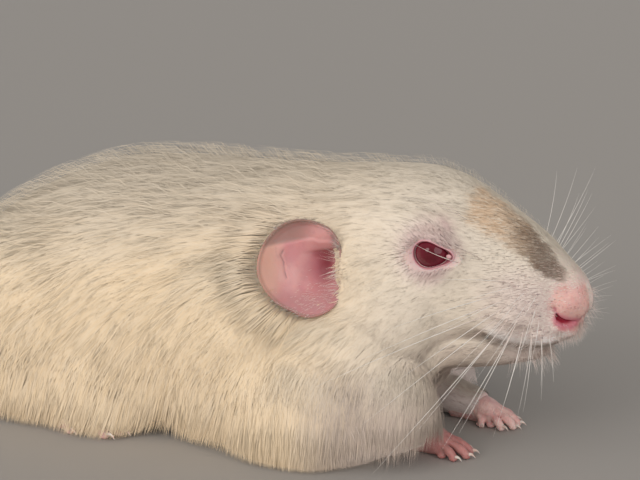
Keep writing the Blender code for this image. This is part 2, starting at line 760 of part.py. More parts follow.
def prism(name, outline, inner, side, margin=0.0):
    """A cutter: a side-view outline carried out sideways from an inner face that leans towards the middle plane."""
    outline = np.array(outline, float)
    middle = outline.mean(0)
    away = outline - middle
    outline = outline + margin * away / np.linalg.norm(away, axis=1)[:, None] * 1.2
    at_back, lean = inner
    near = at_back - margin - lean * (outline[:, 0] - outline[:, 0].min())
    count = len(outline)
    points = [(x, y, z) for (x, z), y in zip(outline, near)] + [(x, 70.0 + margin, z) for x, z in outline]
    faces = [tuple(range(count)), tuple(reversed(range(count, 2 * count)))]
    faces += [((i + 1) % count, i, count + i, count + (i + 1) % count) for i in range(count)]
    made = add_mesh(name, points, faces, side)
    turn_out(made)
    return made


def tilted_oval(centre, radii, tilt, count=30):
    """A side-view outline as x and z, nose down by tilt degrees."""
    angle = np.arange(count) * 2 * math.pi / count
    along, up = radii[0] * np.cos(angle), radii[1] * np.sin(angle)
    a = math.radians(tilt)
    return np.stack([centre[0] + along * math.cos(a) + up * math.sin(a), centre[1] - along * math.sin(a) + up * math.cos(a)], 1)


# What is parted from the body as a limb: its side-view outline, with the inner face's y and its lean.
FORE_LEG = tilted_oval((-20.0, 4.0), (28.0, 17.0), 24.0), (16.5, 0.24)
HIND_LEG = tilted_oval((-80.0, 12.0), (32.0, 23.0), 12.0), (17.0, 0.0)
HEAD_LEAN = (1.0, 0.0, 0.3)


def head_node(core):
    """The head: finer than the rest, with the sockets of the eyes and ears, the lids and the whiskers."""
    head = keep_side(copy_of(core, "head"), (HEAD_CUT - 2.0, 0, 25), HEAD_LEAN)
    move_points(head, face_detail(points_of(head)))
    decimated(head, 3600)
    keep_side(head, (HEAD_CUT, 0, 25), HEAD_LEAN)
    for _, side in SIDES:
        combine(head, prism("box", *FORE_LEG, side, GAP / MM), "DIFFERENCE")
        combine(head, ear_plug(side), "DIFFERENCE")
    combine(head, mouth_line(head), "DIFFERENCE")
    for _, side in SIDES:
        combine(head, nostril(side), "DIFFERENCE")
    add_lids(head)
    bristles = [whisker(*shape, side) for name, side in SIDES for shape in whisker_shapes(name)]
    return unite(head, bristles)


def foot_sleeve(side):
    """The hollow that the body leaves for a hind foot, a little larger than the foot."""
    room = 0.35
    sizes = [(x - 0.6 * (x == 0), half + room, high + room) for x, half, high in FOOT if x < 18]
    sizes += [(19.0, 5.6, 3.3), (25.0, 6.6, 3.2), (38.0, 6.8, 2.9)]  # round the spread toes
    return pad_loft("sleeve", sizes, SOLE - room / 2, FOOT_PLACE, FOOT_TURN, side)


def tail_nodes():
    """The tail in a few lengths, parted across its own line."""
    path, s = tail_path()
    first = int(np.argmax(path[:, 0] < TAIL_CUT))
    marks = np.linspace(first, len(path) - 1, TAIL_PIECES + 1).astype(int)
    made = []
    for k, (a, b) in enumerate(zip(marks[:-1], marks[1:])):
        rows = np.arange(max(a - 4, 0), min(b + 5, len(path)), 3)
        rows[-1] = min(b + 4, len(path) - 1)
        piece = tube(f"tail_{k + 1}", path[rows], tail_radius(s[rows]), 12)
        if k == 0:
            keep_side(piece, (TAIL_CUT - GAP / MM, 0, 0), (-1, 0, 0))
        else:
            ahead = path[a + 1] - path[a - 1]
            keep_side(piece, path[a] + ahead / np.linalg.norm(ahead) * GAP / MM / 2, ahead)
        if k < TAIL_PIECES - 1:
            ahead = path[b + 1] - path[b - 1]
            keep_side(piece, path[b] - ahead / np.linalg.norm(ahead) * GAP / MM / 2, -ahead)
        made.append(flattened(piece))
    return made


def finish_node(obj, name, slot, collection):
    """Names the node, gives it its material and puts it in the rat's collection."""
    obj.name = obj.data.name = name
    obj.data.materials.clear()
    obj.data.materials.append(slot)
    obj.data.shade_smooth()
    obj.data.set_sharp_from_angle(angle=math.radians(40))
    for other in obj.users_collection:
        other.objects.unlink(obj)
    collection.objects.link(obj)


def centre_on_floor(objects):
    """Moves all the nodes so that the middle of their bounding box is over the origin."""
    corners = np.vstack([points_of(obj) for obj in objects])
    low, high = corners.min(0), corners.max(0)
    shift = Vector((-(low[0] + high[0]) / 2, -(low[1] + high[1]) / 2, 0.0)) * MM
    for obj in objects:
        obj.data.transform(Matrix.Translation(shift))
    return shift


def main():
    for obj in list(bpy.data.objects):
        bpy.data.objects.remove(obj)
    rat = bpy.data.collections.new("dumbo_rat")
    bpy.context.scene.collection.children.link(rat)
    slots = {name: material(name, 0.12 if name == "eye" else 0.6) for name in COLOURS}

    core = flattened(body_core())
    nodes = {"head": ("face", head_node(core))}

    body = decimated(core, 3400)
    feet = {name: foot(side) for name, side in SIDES}
    for name, side in SIDES:
        combine(body, foot_sleeve(side), "DIFFERENCE")
    flattened(body)
    for part, cut in (("fore_leg", FORE_LEG), ("hind_leg", HIND_LEG)):
        for name, side in SIDES:
            limb = copy_of(body, part)
            combine(limb, prism("box", *cut, side), "INTERSECT")
            combine(body, prism("box", *cut, side, GAP / MM), "DIFFERENCE")
            nodes[f"{part}_{name}"] = ("coat", limb)
    for name, side in SIDES:
        wrist, _ = hand_place(name)
        ahead = wrist[0] + 0.9
        paw = hand(name, side)
        keep_side(nodes[f"fore_leg_{name}"][1], (ahead, 0, 0), (-1, 0, 0))
        keep_side(paw, (ahead + GAP / MM, 0, 0), (1, 0, 0))
        nodes[f"forepaw_{name}"] = ("skin", flattened(paw))
        nodes[f"hind_foot_{name}"] = ("skin", flattened(feet[name]))
        nodes[f"eye_{name}"] = ("eye", ellipsoid("eye", eye_centre(), [EYE_RADIUS] * 3, side, segments=18))
        nodes[f"ear_{name}"] = ("ear", ear("ear", side))
    step = np.array((GAP / MM / 2, 0, 0))
    keep_side(body, np.array((HEAD_CUT, 0, 25)) - 2 * step, -np.array(HEAD_LEAN))
    keep_side(body, (TAIL_CUT, 0, 0), (1, 0, 0))
    neck = keep_side(copy_of(body, "neck"), np.array((NECK_CUT, 0, 25)) + step, HEAD_LEAN)
    torso = keep_side(body, np.array((NECK_CUT, 0, 25)) - step, -np.array(HEAD_LEAN))
    nodes |= {"neck": ("coat", neck), "torso": ("coat", torso)}
    for k, piece in enumerate(tail_nodes()):
        nodes[f"tail_{k + 1}"] = ("tail", piece)
    centre_on_floor([obj for _, obj in nodes.values()])
    for name, (slot, obj) in nodes.items():
        finish_node(obj, name, slots[slot], rat)


main()
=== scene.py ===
# %% [markdown]
# # A pet dumbo rat at rest
# The rat lies flat on the floor with its forearms laid forward and its tail curled round its far side. Its ears
# are big, round and set low, which is what "dumbo" means. The plain solids give the place and the size of every
# part. This lesson dresses them: one skin over all the flesh, wet ruby eyes, thin ears, a bare pink nose, hands,
# feet and a scaly tail, and then a coat of some two hundred thousand small tufts, each a thin solid spindle.

# %% Load the frame
import math

import bmesh
import bpy
import numpy as np
from mathutils import Matrix, Vector
from mathutils.bvhtree import BVHTree


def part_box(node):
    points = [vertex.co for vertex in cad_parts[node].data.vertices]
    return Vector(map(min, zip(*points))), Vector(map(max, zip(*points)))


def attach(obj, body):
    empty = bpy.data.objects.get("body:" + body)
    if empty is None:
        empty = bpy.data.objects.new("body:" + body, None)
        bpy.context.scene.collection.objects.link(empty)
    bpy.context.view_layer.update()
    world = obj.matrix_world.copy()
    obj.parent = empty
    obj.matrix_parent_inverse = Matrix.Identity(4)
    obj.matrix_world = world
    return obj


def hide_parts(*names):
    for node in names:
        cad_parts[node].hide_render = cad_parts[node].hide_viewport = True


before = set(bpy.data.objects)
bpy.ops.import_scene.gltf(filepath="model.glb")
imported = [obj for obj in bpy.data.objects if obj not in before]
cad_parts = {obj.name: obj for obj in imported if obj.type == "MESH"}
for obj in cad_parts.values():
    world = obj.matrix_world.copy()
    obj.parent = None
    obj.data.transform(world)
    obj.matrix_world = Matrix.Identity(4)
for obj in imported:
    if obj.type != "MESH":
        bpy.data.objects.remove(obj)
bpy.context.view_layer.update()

# %% [markdown]
# All forms are worked out in millimetres in the rat's own frame: x counts forward from the eyes, y to the left
# from the middle plane and z up from the floor. The middle of an eyeball is known in both frames, so it gives the
# one shift between them, and every finished mesh takes that shift, so that its object stays at the origin.

# %% Own frame
MM = 0.001
EYE_OUT, EYE_HEIGHT, EYE_RADIUS = 10.5, 37.5, 3.4
SIDES = (("left", 1.0), ("right", -1.0))
low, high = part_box("eye_right")
SHIFT = (np.array(low) + np.array(high)) * 500 - (0, -EYE_OUT, EYE_HEIGHT)  # 500: half the sum, in mm
print("shift of the own frame, mm:", SHIFT.round(3).tolist())


def add_object(name, data):
    """A new object with this data, in the scene."""
    made = bpy.data.objects.new(name, data)
    bpy.context.scene.collection.objects.link(made)
    return made


# %% [markdown]
# The camera comes first, since it settles what is judged closest. It stands to the right of the rat and a little
# ahead of it, somewhat higher than its back, with a long lens that looks a little down on it.

# %% Camera
VIEW_PLACE = (88.2, -218.86, 87.55)  # in the own frame, mm
VIEW_TURN, VIEW_DOWN, VIEW_ANGLE = 28.0, 12.0, 27.43  # degrees: to the left, down and the width of the view
camera = add_object("camera", bpy.data.cameras.new("camera"))
camera.location = (np.array(VIEW_PLACE) + SHIFT) * MM
camera.rotation_euler = (math.radians(90 - VIEW_DOWN), 0, math.radians(VIEW_TURN))
camera.data.angle = math.radians(VIEW_ANGLE)
camera.data.clip_start, camera.data.clip_end = 0.01, 50
bpy.context.scene.camera = camera

# %% [markdown]
# A material is a small net of nodes. Written as Python, the net reads like the sum that it works out: Socket wraps
# one output and takes +, - and *, and node makes any other node from its type, settings and inputs.

# %% Shader maths


class Socket:
    """One output of a node, which can be reckoned with like a number."""

    def __init__(self, tree, output):
        self.tree, self.output = tree, output

    def math(self, operation, *values):
        return node(self.tree, "Math", {"operation": operation}, *values).out()

    def __add__(self, other):
        return self.math("ADD", self, other)

    def __rsub__(self, other):
        return self.math("SUBTRACT", other, self)

    def __mul__(self, other):
        return self.math("MULTIPLY", self, other)

    __radd__ = __add__

    def clip(self):
        return node(self.tree, "Clamp", {}, self).out()

    def between(self, start, end):
        """0 below start, 1 above end, with a soft step between them."""
        return node(self.tree, "MapRange", {"interpolation_type": "SMOOTHSTEP"}, self, start, end, 0.0, 1.0).out()


class Node:
    """A node that has been made; out gives one of its outputs."""

    def __init__(self, tree, made):
        self.tree, self.made = tree, made

    def out(self, which=0):
        return Socket(self.tree, self.made.outputs[which])


def node(tree, kind, settings, *inputs, **named):
    """A node of this kind. Settings come first, then inputs in order (None leaves one alone) or by name."""
    made = tree.nodes.new("ShaderNode" + kind)
    for key, value in settings.items():
        setattr(made, key, value)
    pairs = [(made.inputs[i], value) for i, value in enumerate(inputs)]
    pairs += [(made.inputs[name.replace("_", " ")], value) for name, value in named.items()]
    for socket, value in pairs:
        if isinstance(value, Socket):
            tree.links.new(value.output, socket)
        elif value is not None:
            socket.default_value = value
    return Node(tree, made)


def glow(weight, *radius):
    """How light runs under a surface: its share, and how far in metres for red, green and blue."""
    return {"Subsurface_Weight": weight, "Subsurface_Radius": radius, "Subsurface_Scale": 1.0}


class Finish:
    """A new material with its main shader, and the nodes that its patterns read."""

    def __init__(self, name, **constant):
        self.material = bpy.data.materials.new(name)
        self.material.use_nodes = True
        self.tree = self.material.node_tree
        self.shader = self.tree.nodes["Principled BSDF"]
        for key, value in constant.items():
            self.shader.inputs[key.replace("_", " ")].default_value = value

    def node(self, kind, settings, *inputs, **named):
        return node(self.tree, kind, settings, *inputs, **named)

    def where(self):
        """The place on the object, in metres."""
        return self.node("TexCoord", {}).out("Object")

    def attribute(self, name):
        return self.node("Attribute", {"attribute_name": name}).out("Fac")

    def noise(self, scale, detail, roughness, stretch=(1, 1, 1)):
        """Clouds from about 0.3 to 0.7; scale counts them per metre."""
        place = self.node("Mapping", {}, self.where(), None, None, stretch).out()
        return self.node("TexNoise", {}, place, Scale=scale, Detail=detail, Roughness=roughness).out()

    def mix(self, share, first, second):
        """A colour between two; share is a socket or a number."""
        made = self.tree.nodes.new("ShaderNodeMix")
        made.data_type = "RGBA"
        for index, value in ((0, share), (6, first), (7, second)):
            if isinstance(value, Socket):
                self.tree.links.new(value.output, made.inputs[index])
            else:
                made.inputs[index].default_value = value if index == 0 else (*value, 1.0)
        return Socket(self.tree, made.outputs[2])

    def layers(self, tone, *over):
        """A ground colour with others laid over it in turn, each by its own share."""
        for share, colour in over:
            tone = self.mix(share, tone, colour)
        return tone

    def bump(self, height, distance, strength):
        """The normal of a surface with this relief, distance metres high."""
        return self.node("Bump", {}, Strength=strength, Distance=distance, Height=height).out()

    def set(self, **varying):
        """Links sockets to inputs of the main shader, with _ for a blank in their names."""
        for key, value in varying.items():
            self.tree.links.new(value.output, self.shader.inputs[key.replace("_", " ")])


# %% [markdown]
# The stage is a plain pale floor that runs far back, so that it fills the view, with soft light as in a studio. The
# lamps are suns with a wide disc: their shadows are as soft as a big box's, and they light a floor evenly however
# far it runs. The main one stands beside the camera, since fur looks flat and grey when it is lit from above only.
# It isn't mirrored in the wet eyes: a smaller one beside it makes the glint there. A third opens the shadows, one
# from behind catches the tips of the coat, and a pale sky gives the rest.

# %% Stage and lights
REACH = 6.0  # how far the floor runs to each side, in metres
floor_corners = [(-REACH, -REACH, 0), (REACH, -REACH, 0), (REACH, REACH, 0), (-REACH, REACH, 0)]
floor_mesh = bpy.data.meshes.new("floor")
floor_mesh.from_pydata(floor_corners, [], [(0, 1, 2, 3)])
floor = add_object("floor", floor_mesh)
paper = Finish("paper", Roughness=0.85)
paper.shader.inputs["Base Color"].default_value = (0.40, 0.375, 0.35, 1)
floor_mesh.materials.append(paper.material)


def lamp(name, towards, strength, disc, colour):
    """A sun that stands in this direction, with a disc this many degrees wide."""
    made = add_object(name, bpy.data.lights.new(name, "SUN"))
    made.data.energy, made.data.angle, made.data.color = strength, math.radians(disc), colour
    made.rotation_euler = (-Vector(towards)).to_track_quat("-Z", "Y").to_euler()
    return made


lamp("main", (-0.20, -0.93, 0.32), 1.50, 100, (1.0, 0.965, 0.925)).visible_glossy = False
lamp("glint", (-0.32, -0.90, 0.42), 0.60, 26, (1.0, 0.965, 0.925))
lamp("fill", (0.85, -0.50, 0.40), 0.90, 50, (1.0, 0.98, 0.96))
lamp("rim", (-0.15, 0.80, 0.62), 0.15, 40, (1.0, 0.98, 0.95))
sky = bpy.data.worlds.new("sky")
sky.use_nodes = True
sky.node_tree.nodes["Background"].inputs["Color"].default_value = (0.98, 0.97, 0.96, 1)
sky.node_tree.nodes["Background"].inputs["Strength"].default_value = 0.27
bpy.context.scene.world = sky
bpy.context.scene.view_settings.view_transform = "Standard"
print("stage and lights are set")

# %% [markdown]
# A few helpers carry most of the shapes. through draws a smooth curve through a few measured stations and never
# overshoots them, soft is a step and hump a bulge without edges, and build turns arrays of points and faces into a
# mesh at once.

# %% Curves and meshes


def through(stations, at):
    """A smooth curve through rows of (place, value...), read at each place: a cubic with slopes that are a
    weighted mean of its neighbours', and level where the values turn round."""
    rows = np.array(sorted(map(tuple, stations)), float)
    place, value = rows[:, 0], rows[:, 1:]
    step = np.diff(place)[:, None]
    rise = np.diff(value, axis=0) / step
    slope = np.vstack([rise[:1], np.zeros_like(rise[1:]), rise[-1:]])
    before, after = rise[:-1], rise[1:]
    near, far = 2 * step[1:] + step[:-1], step[1:] + 2 * step[:-1]
    with np.errstate(divide="ignore", invalid="ignore"):
        inner = (near + far) / (near / before + far / after)
    slope[1:-1] = np.where(before * after > 0, inner, 0.0)
    at = np.clip(np.atleast_1d(at), place[0], place[-1])
    i = np.clip(np.searchsorted(place, at) - 1, 0, len(step) - 1)
    h = step[i]
    t = (at - place[i])[:, None] / h
    return (
        value[i] * (1 + 2 * t) * (1 - t) ** 2
        + slope[i] * h * t * (1 - t) ** 2
        + value[i + 1] * t * t * (3 - 2 * t)
        + slope[i + 1] * h * t * t * (t - 1)
    )


def build(name, points, *faces):
    """A mesh object from an array of points and arrays of triangles or quads, as they are, in millimetres."""
    mesh = bpy.data.meshes.new(name)
    corners = np.concatenate([np.asarray(f).ravel() for f in faces])
    sizes = np.concatenate([np.full(len(f), np.shape(f)[1]) for f in faces])
    mesh.vertices.add(len(points))
    mesh.vertices.foreach_set("co", np.asarray(points, np.float32).ravel())
    mesh.loops.add(len(corners))
    mesh.loops.foreach_set("vertex_index", corners.astype(np.int32))
    mesh.polygons.add(len(sizes))
    mesh.polygons.foreach_set("loop_start", (np.cumsum(sizes) - sizes).astype(np.int32))
    mesh.polygons.foreach_set("use_smooth", np.ones(len(sizes), bool))
    mesh.update(calc_edges=True)
    return add_object(name, mesh)


def vectors_of(obj, kind):
    """One vector for each point of the mesh, of the kind co or normal."""
    found = np.empty(len(obj.data.vertices) * 3, np.float32)
    obj.data.vertices.foreach_get(kind, found)
    return found.reshape(-1, 3).astype(float)


def points_of(obj):
    return vectors_of(obj, "co")


def normals_of(obj):
    return vectors_of(obj, "normal")


def move_points(obj, points):
    """Gives the mesh's points these places."""
    obj.data.vertices.foreach_set("co", np.asarray(points, np.float32).ravel())
    obj.data.update()


def shade_smooth(obj):
    obj.data.polygons.foreach_set("use_smooth", np.ones(len(obj.data.polygons), bool))


def tree_of(obj):
    """The mesh as a tree of faces, which finds the nearest place on it and where a ray hits it."""
    return BVHTree.FromPolygons(points_of(obj).tolist(), [tuple(f.vertices) for f in obj.data.polygons])


def soft(value, start, end):
    """0 at start, 1 at end, with a level run in and out: 3t^2 - 2t^3. start may be the larger."""
    t = np.clip((value - start) / (end - start), 0, 1)
    return t * t * (3 - 2 * t)


def hump(value, width, at=0.0):
    """exp(-d squared), d being the distance from at over the width."""
    return np.exp(-(((value - at) / width) ** 2))


def unit(vectors):
    """Rows of vectors, each brought to length 1."""
    return vectors / np.linalg.norm(vectors, axis=-1)[..., None]


def turns(count):
    """Even steps round a circle, in radians."""
    return np.arange(count) * 2 * math.pi / count


def set_attribute(obj, name, values):
    """A number for each point, which a material reads by this name."""
    made = obj.data.attributes.new(name, "FLOAT", "POINT")
    made.data.foreach_set("value", np.asarray(values, np.float32))


def ring_faces(rows, around):
    """The quads between neighbouring rings of points."""
    a = np.arange(rows - 1)[:, None] * around
    here = np.arange(around)
    there = (here + 1) % around
    return np.stack([a + here, a + there, a + around + there, a + around + here], -1).reshape(-1, 4)


def loft(name, rings, first, last):
    """A closed skin over rings of equal count, with a pole at each end; its faces are turned outwards."""
    rings = np.asarray(rings, float)
    rows, around = rings.shape[:2]
    points = np.vstack([rings.reshape(-1, 3), [first], [last]])
    here, there = np.arange(around), (np.arange(around) + 1) % around
    top, end = rows * around, (rows - 1) * around
    caps = np.vstack([
        np.stack([np.full(around, top), there, here], 1),
        np.stack([np.full(around, top + 1), end + here, end + there], 1),
    ])
    quads = ring_faces(rows, around)
    a, b, c = (points[caps[:, k]] for k in range(3))
    p, q, r, s = (points[quads[:, k]] for k in range(4))
    volume = np.einsum("ij,ij->i", a, np.cross(b, c)).sum() + sum(
        np.einsum("ij,ij->i", u, np.cross(v, w)).sum() for u, v, w in ((p, q, r), (p, r, s))
    )
    if volume < 0:
        quads, caps = quads[:, ::-1], caps[:, ::-1]
    return build(name, points, quads, caps)


def circles(path, radii, around):
    """A circle of this radius upright round each point of a path, and the way ahead at each point."""
    ahead = unit(np.gradient(path, axis=0))
    out = unit(np.cross(ahead, (0.0, 0.0, 1.0)))
    up = np.cross(out, ahead)
    angle = turns(around)
    circle = np.cos(angle)[None, :, None] * out[:, None] + np.sin(angle)[None, :, None] * up[:, None]
    return path[:, None] + radii[:, None, None] * circle, ahead


def tube(name, path, radii, sides, blunt=0.6):
    """A round limb: a circle of changing radius carried along a path, with rounded ends."""
    path, radii = np.asarray(path, float), np.asarray(radii, float)
    rings, ahead = circles(path, radii, sides)
    return loft(name, rings, path[0] - ahead[0] * radii[0] * blunt, path[-1] + ahead[-1] * radii[-1] * blunt)


def egg(name, centre, radii, side=1.0, lean=0.0, yaw=0.0, around=40):
    """An ellipsoid of these half sizes, leant nose down and turned, in degrees; side -1 mirrors it."""
    down, angle = np.linspace(0, math.pi, around // 2 + 1)[1:-1], turns(around)
    ball = np.stack([
        np.sin(down)[:, None] * np.cos(angle), np.sin(down)[:, None] * np.sin(angle),
        np.repeat(np.cos(down)[:, None], around, 1),
    ], -1)
    turn = Matrix.Rotation(math.radians(yaw), 3, "Z") @ Matrix.Rotation(math.radians(lean), 3, "Y")
    turn, flip = np.array(turn), np.array((1, side, 1))
    rings = ((ball * radii) @ turn.T + centre) * flip
    poles = ((np.array([(0, 0, 1), (0, 0, -1)]) * radii) @ turn.T + centre) * flip
    return loft(name, rings, *poles)


def join(name, pieces):
    """One object with the meshes of all these pieces, still overlapping."""
    counts = np.cumsum([0] + [len(piece.data.vertices) for piece in pieces])
    points = np.vstack([points_of(piece) for piece in pieces])
    faces = [tuple(v + base for v in face.vertices)
             for base, piece in zip(counts, pieces) for face in piece.data.polygons]
    for piece in pieces:
        bpy.data.objects.remove(piece)
    mesh = bpy.data.meshes.new(name)
    mesh.from_pydata(points.tolist(), [], faces)
    return add_object(name, mesh)


def baked(obj):
    """Turns the modifiers into mesh."""
    graph = bpy.context.evaluated_depsgraph_get()
    mesh = bpy.data.meshes.new_from_object(obj.evaluated_get(graph))
    obj.modifiers.clear()
    obj.data = mesh
    return obj


def remeshed(obj, voxel):
    """The outer surface of overlapping pieces as one even mesh of quads, voxel mm wide."""
    modifier = obj.modifiers.new("Remesh", "REMESH")
    modifier.mode, modifier.voxel_size, modifier.adaptivity = "VOXEL", voxel, 0.0
    return baked(obj)


def point_group(obj, name, weights):
    """A named group of all points with their weights, for a modifier to read."""
    group = obj.vertex_groups.new(name=name)
    for i, weight in enumerate(weights.tolist()):
        group.add([i], weight, "REPLACE")


def smoothed(obj, rounds, share=None):
    """Evens out the surface; share says how much of it each point takes, from 0 to 1."""
    modifier = obj.modifiers.new("Smooth", "SMOOTH")
    modifier.factor, modifier.iterations = 0.5, rounds
    if share is not None:
        point_group(obj, "share", share)
        modifier.vertex_group = "share"
    return baked(obj)


def decimated(obj, ratio, group=""):
    """Leaves this share of the triangles; the points of the group are the first to go."""
    modifier = obj.modifiers.new("Decimate", "DECIMATE")
    modifier.ratio, modifier.vertex_group, modifier.vertex_group_factor = ratio, group, 1.0
    return baked(obj)


def finish_piece(obj, finish, slot, *replaced):
    """Sets a piece down in the frame, gives it its material, and says what it rides on and stands for."""
    move_points(obj, (points_of(obj) + SHIFT) * MM)
    obj.data.materials.append(finish)
    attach(obj, "root")
    if replaced:
        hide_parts(*replaced)
    obj.data.calc_loop_triangles()
    print(f"{obj.name}: {len(obj.data.vertices)} points, {len(obj.data.loop_triangles)} triangles")


# %% [markdown]
# The flesh is one skin from nose to tail root. Its masses are simple: a trunk that is lofted through measured
# sections, a jaw, and eggs and tubes for cheeks, shoulders, elbows, haunches and forearms. A remesh fuses them and
# a smoothing lets them run into each other, most on the body and hardly at all on the muzzle and the wrists. This
# first surface lies where the tips of the coat end.

# %% Masses of the body
# x, height of the top line, of the widest place and of the underside, and half the width
TRUNK = (
    (25.3, 31.8, 29.3, 26.9, 2.3), (24.2, 33.8, 29.3, 25.3, 3.4), (21.5, 36.4, 29.0, 21.6, 4.6),
    (17.5, 40.2, 28.4, 20.0, 6.7), (13.0, 43.3, 28.2, 20.2, 8.6), (8.5, 46.0, 28.5, 20.6, 10.4),
    (4.0, 48.7, 28.6, 18.6, 11.7), (0.0, 50.4, 28.6, 16.4, 13.2), (-6.0, 51.3, 28.2, 14.0, 16.2),
    (-12.0, 51.2, 27.4, 12.4, 18.2), (-20.0, 50.6, 26.0, 10.4, 20.0), (-30.0, 50.0, 24.4, 7.0, 23.6),
    (-42.0, 49.6, 22.6, 2.0, 28.6), (-55.0, 49.5, 21.0, -0.8, 32.2), (-70.0, 48.6, 20.4, -1.2, 34.2),
    (-83.0, 45.2, 19.8, -1.2, 34.0), (-95.0, 39.2, 18.6, -0.6, 31.4), (-105.0, 32.0, 17.0, 1.4, 25.6),
    (-112.0, 25.2, 16.2, 4.8, 18.0), (-116.0, 20.2, 15.4, 8.8, 10.0),
)
NOSE_TIP, RUMP_TIP, BELLY_SQUARENESS = (25.9, 0.0, 29.6), (-117.6, 0.0, 15.2), 2.9
NOSE_PAD = (22.4, 0.0, 29.2), (3.5, 4.5, 4.0)
JAW = (  # x, top, underside, half the width
    (17.9, 20.8, 18.3, 1.8), (16.6, 21.4, 17.6, 3.0), (14.6, 22.1, 17.1, 4.3), (12.0, 23.0, 16.5, 6.2),
    (9.0, 25.0, 16.0, 8.7), (4.0, 25.6, 15.3, 10.6), (-2.0, 24.6, 13.7, 11.6), (-8.0, 24.4, 12.3, 13.0),
    (-15.0, 24.0, 11.4, 13.4),
)
CHIN_TIP = (18.9, 0.0, 19.3)
HAND_AHEAD = {"left": 2.4, "right": 0.0}  # the left hand lies a little further forward
FOREARM_RADII = (8.0, 6.8, 4.8, 3.5, 3.0)
TAIL_LENGTH, TAIL_ROOT, TAIL_TIP = 165.0, 4.4, 1.1
TAIL_HEADING = ((0, -4), (0.12, 2), (0.4, 78), (0.7, 146), (0.88, 166), (1, 150))
FLESH_VOXEL, FLESH_ROUNDS = 0.5, 115  # mm, and how often the fused flesh is evened out
BOTH, MIDDLE, RIGHT = (1.0, -1.0), (1.0,), (-1.0,)
EGGS = (  # centre, radii, lean, yaw, and the sides that have one
    ((-26.0, 0.0, 12.0), (20.0, 17.0, 11.0), 0, 0, MIDDLE),  # brisket
    ((-13.5, 0.0, 17.0), (14.5, 13.0, 9.5), 0, 0, MIDDLE),  # throat
    ((-20.5, 18.5, 9.0), (17.0, 12.5, 13.0), 8, -8, BOTH),  # elbow
    ((-36.0, 19.0, 19.0), (17.0, 11.5, 18.0), 12, 0, BOTH),  # shoulder
    ((-77.0, 21.0, 19.0), (27.0, 15.5, 20.5), 12, -3, BOTH),  # haunch
    ((-62.0, 26.5, 12.5), (13.0, 8.0, 11.0), 20, 0, BOTH),  # knee
    ((-9.0, 10.5, 25.0), (11.5, 8.6, 11.5), 0, -16, BOTH),  # cheek
    ((-16.5, 15.5, 18.5), (13.0, 9.0, 9.5), 0, -10, BOTH),  # the loose skin from the jaw to the shoulder
    ((-8.0, 11.5, 10.5), (9.0, 7.5, 9.5), 0, -24, RIGHT),  # chest fur that hangs over the drawn-in right arm
    ((-8.5, 15.5, 10.0), (12.0, 9.4, 10.0), 0, 0, RIGHT),  # and joins it to the elbow
)


def section(x, top, middle, bottom, half, around=56):
    """A ring at x: half an ellipse above the widest place, a squarer superellipse half below it."""
    c, s = np.cos(turns(around)), np.sin(turns(around))
    power = np.where(s < 0, 2 / BELLY_SQUARENESS, 1.0)
    y = half * np.sign(c) * np.abs(c) ** power
    z = middle + np.where(s > 0, top - middle, middle - bottom) * np.sign(s) * np.abs(s) ** power
    return np.stack([np.full(around, x), y, z], 1)


def forearm_path(name):
    """From the elbow, out at the side, along the floor to the wrist."""
    ahead = HAND_AHEAD[name]
    return np.array([
        (-20.0, 21.0, 9.0), (-15.0, 16.5, 6.6), (-10.0 + 0.3 * ahead, 12.6, 4.9),
        (-5.0 + 0.7 * ahead, 10.9, 3.9), (ahead, 10.0, 3.3),
    ])


def tail_radius(s):
    """Root radius less a share of s to the 0.8: it thins fastest near the rump."""
    return TAIL_ROOT + (TAIL_TIP - TAIL_ROOT) * np.asarray(s) ** 0.8


def tail_path(count=120):
    """Steps of equal length whose heading turns as TAIL_HEADING says; the height drops to the floor by a square."""
    s = np.linspace(0, 1, count)
    heading = np.radians(through(TAIL_HEADING, s)[:, 0])
    step = TAIL_LENGTH / (count - 1)
    x = RUMP_TIP[0] + 6.0 - np.concatenate([[0], np.cumsum(np.cos(heading[:-1]) * step)])
    y = np.concatenate([[0], np.cumsum(np.sin(heading[:-1]) * step)])
    lie = tail_radius(s) - 0.35
    drop = np.clip(1 - s / 0.16, 0, 1) ** 2
    return np.stack([x, y, lie + (RUMP_TIP[2] - 1.0 - lie) * drop], 1), s


def masses():
    """All the masses as closed, overlapping meshes."""
    front, rear = TRUNK[0][0], TRUNK[-1][0]
    places = (front + rear) / 2 + (front - rear) / 2 * np.cos(np.linspace(0, math.pi, 90))
    rings = [section(x, *row) for x, row in zip(places, through(TRUNK, places))]
    made = [loft("trunk", rings, NOSE_TIP, RUMP_TIP), egg("nose", *NOSE_PAD)]
    places = np.linspace(JAW[0][0], JAW[-1][0], 24)
    rings = [section(x, t, (t + b) / 2, b, half, 32) for x, (t, b, half) in zip(places, through(JAW, places))]
    made.append(loft("jaw", rings, CHIN_TIP, (JAW[-1][0] - 2.0, 0.0, 18.0)))
    for centre, radii, lean, yaw, sides in EGGS:
        made += [egg("egg", centre, radii, side, lean, yaw) for side in sides]
    for name, side in SIDES:
        path = forearm_path(name)
        stations = np.column_stack([np.linspace(0, 1, len(path)), path, FOREARM_RADII])
        fine = through(stations, np.linspace(0, 1, 22))
        made.append(tube("forearm", fine[:, :3] * (1, side, 1), fine[:, 3], 24))
    path, s = tail_path()
    root = slice(22)
    made.append(tube("tail_root", path[root], tail_radius(s[root]) + 2.6 * np.linspace(1, 0, 22) ** 1.5, 20))
    return made


skin = remeshed(join("skin", masses()), FLESH_VOXEL)
x, y, z = points_of(skin).T
curtain = soft(x, -24, -10) * soft(x, 6, 2) * soft(z, 22, 16) * soft(y, -4, -8)  # the right side's chest fur
smoothed(skin, FLESH_ROUNDS, np.maximum(np.clip((-4.0 - x) / 22.0, 0.04, 1.0), 0.9 * curtain))
print("fused flesh:", len(skin.data.vertices), "points")

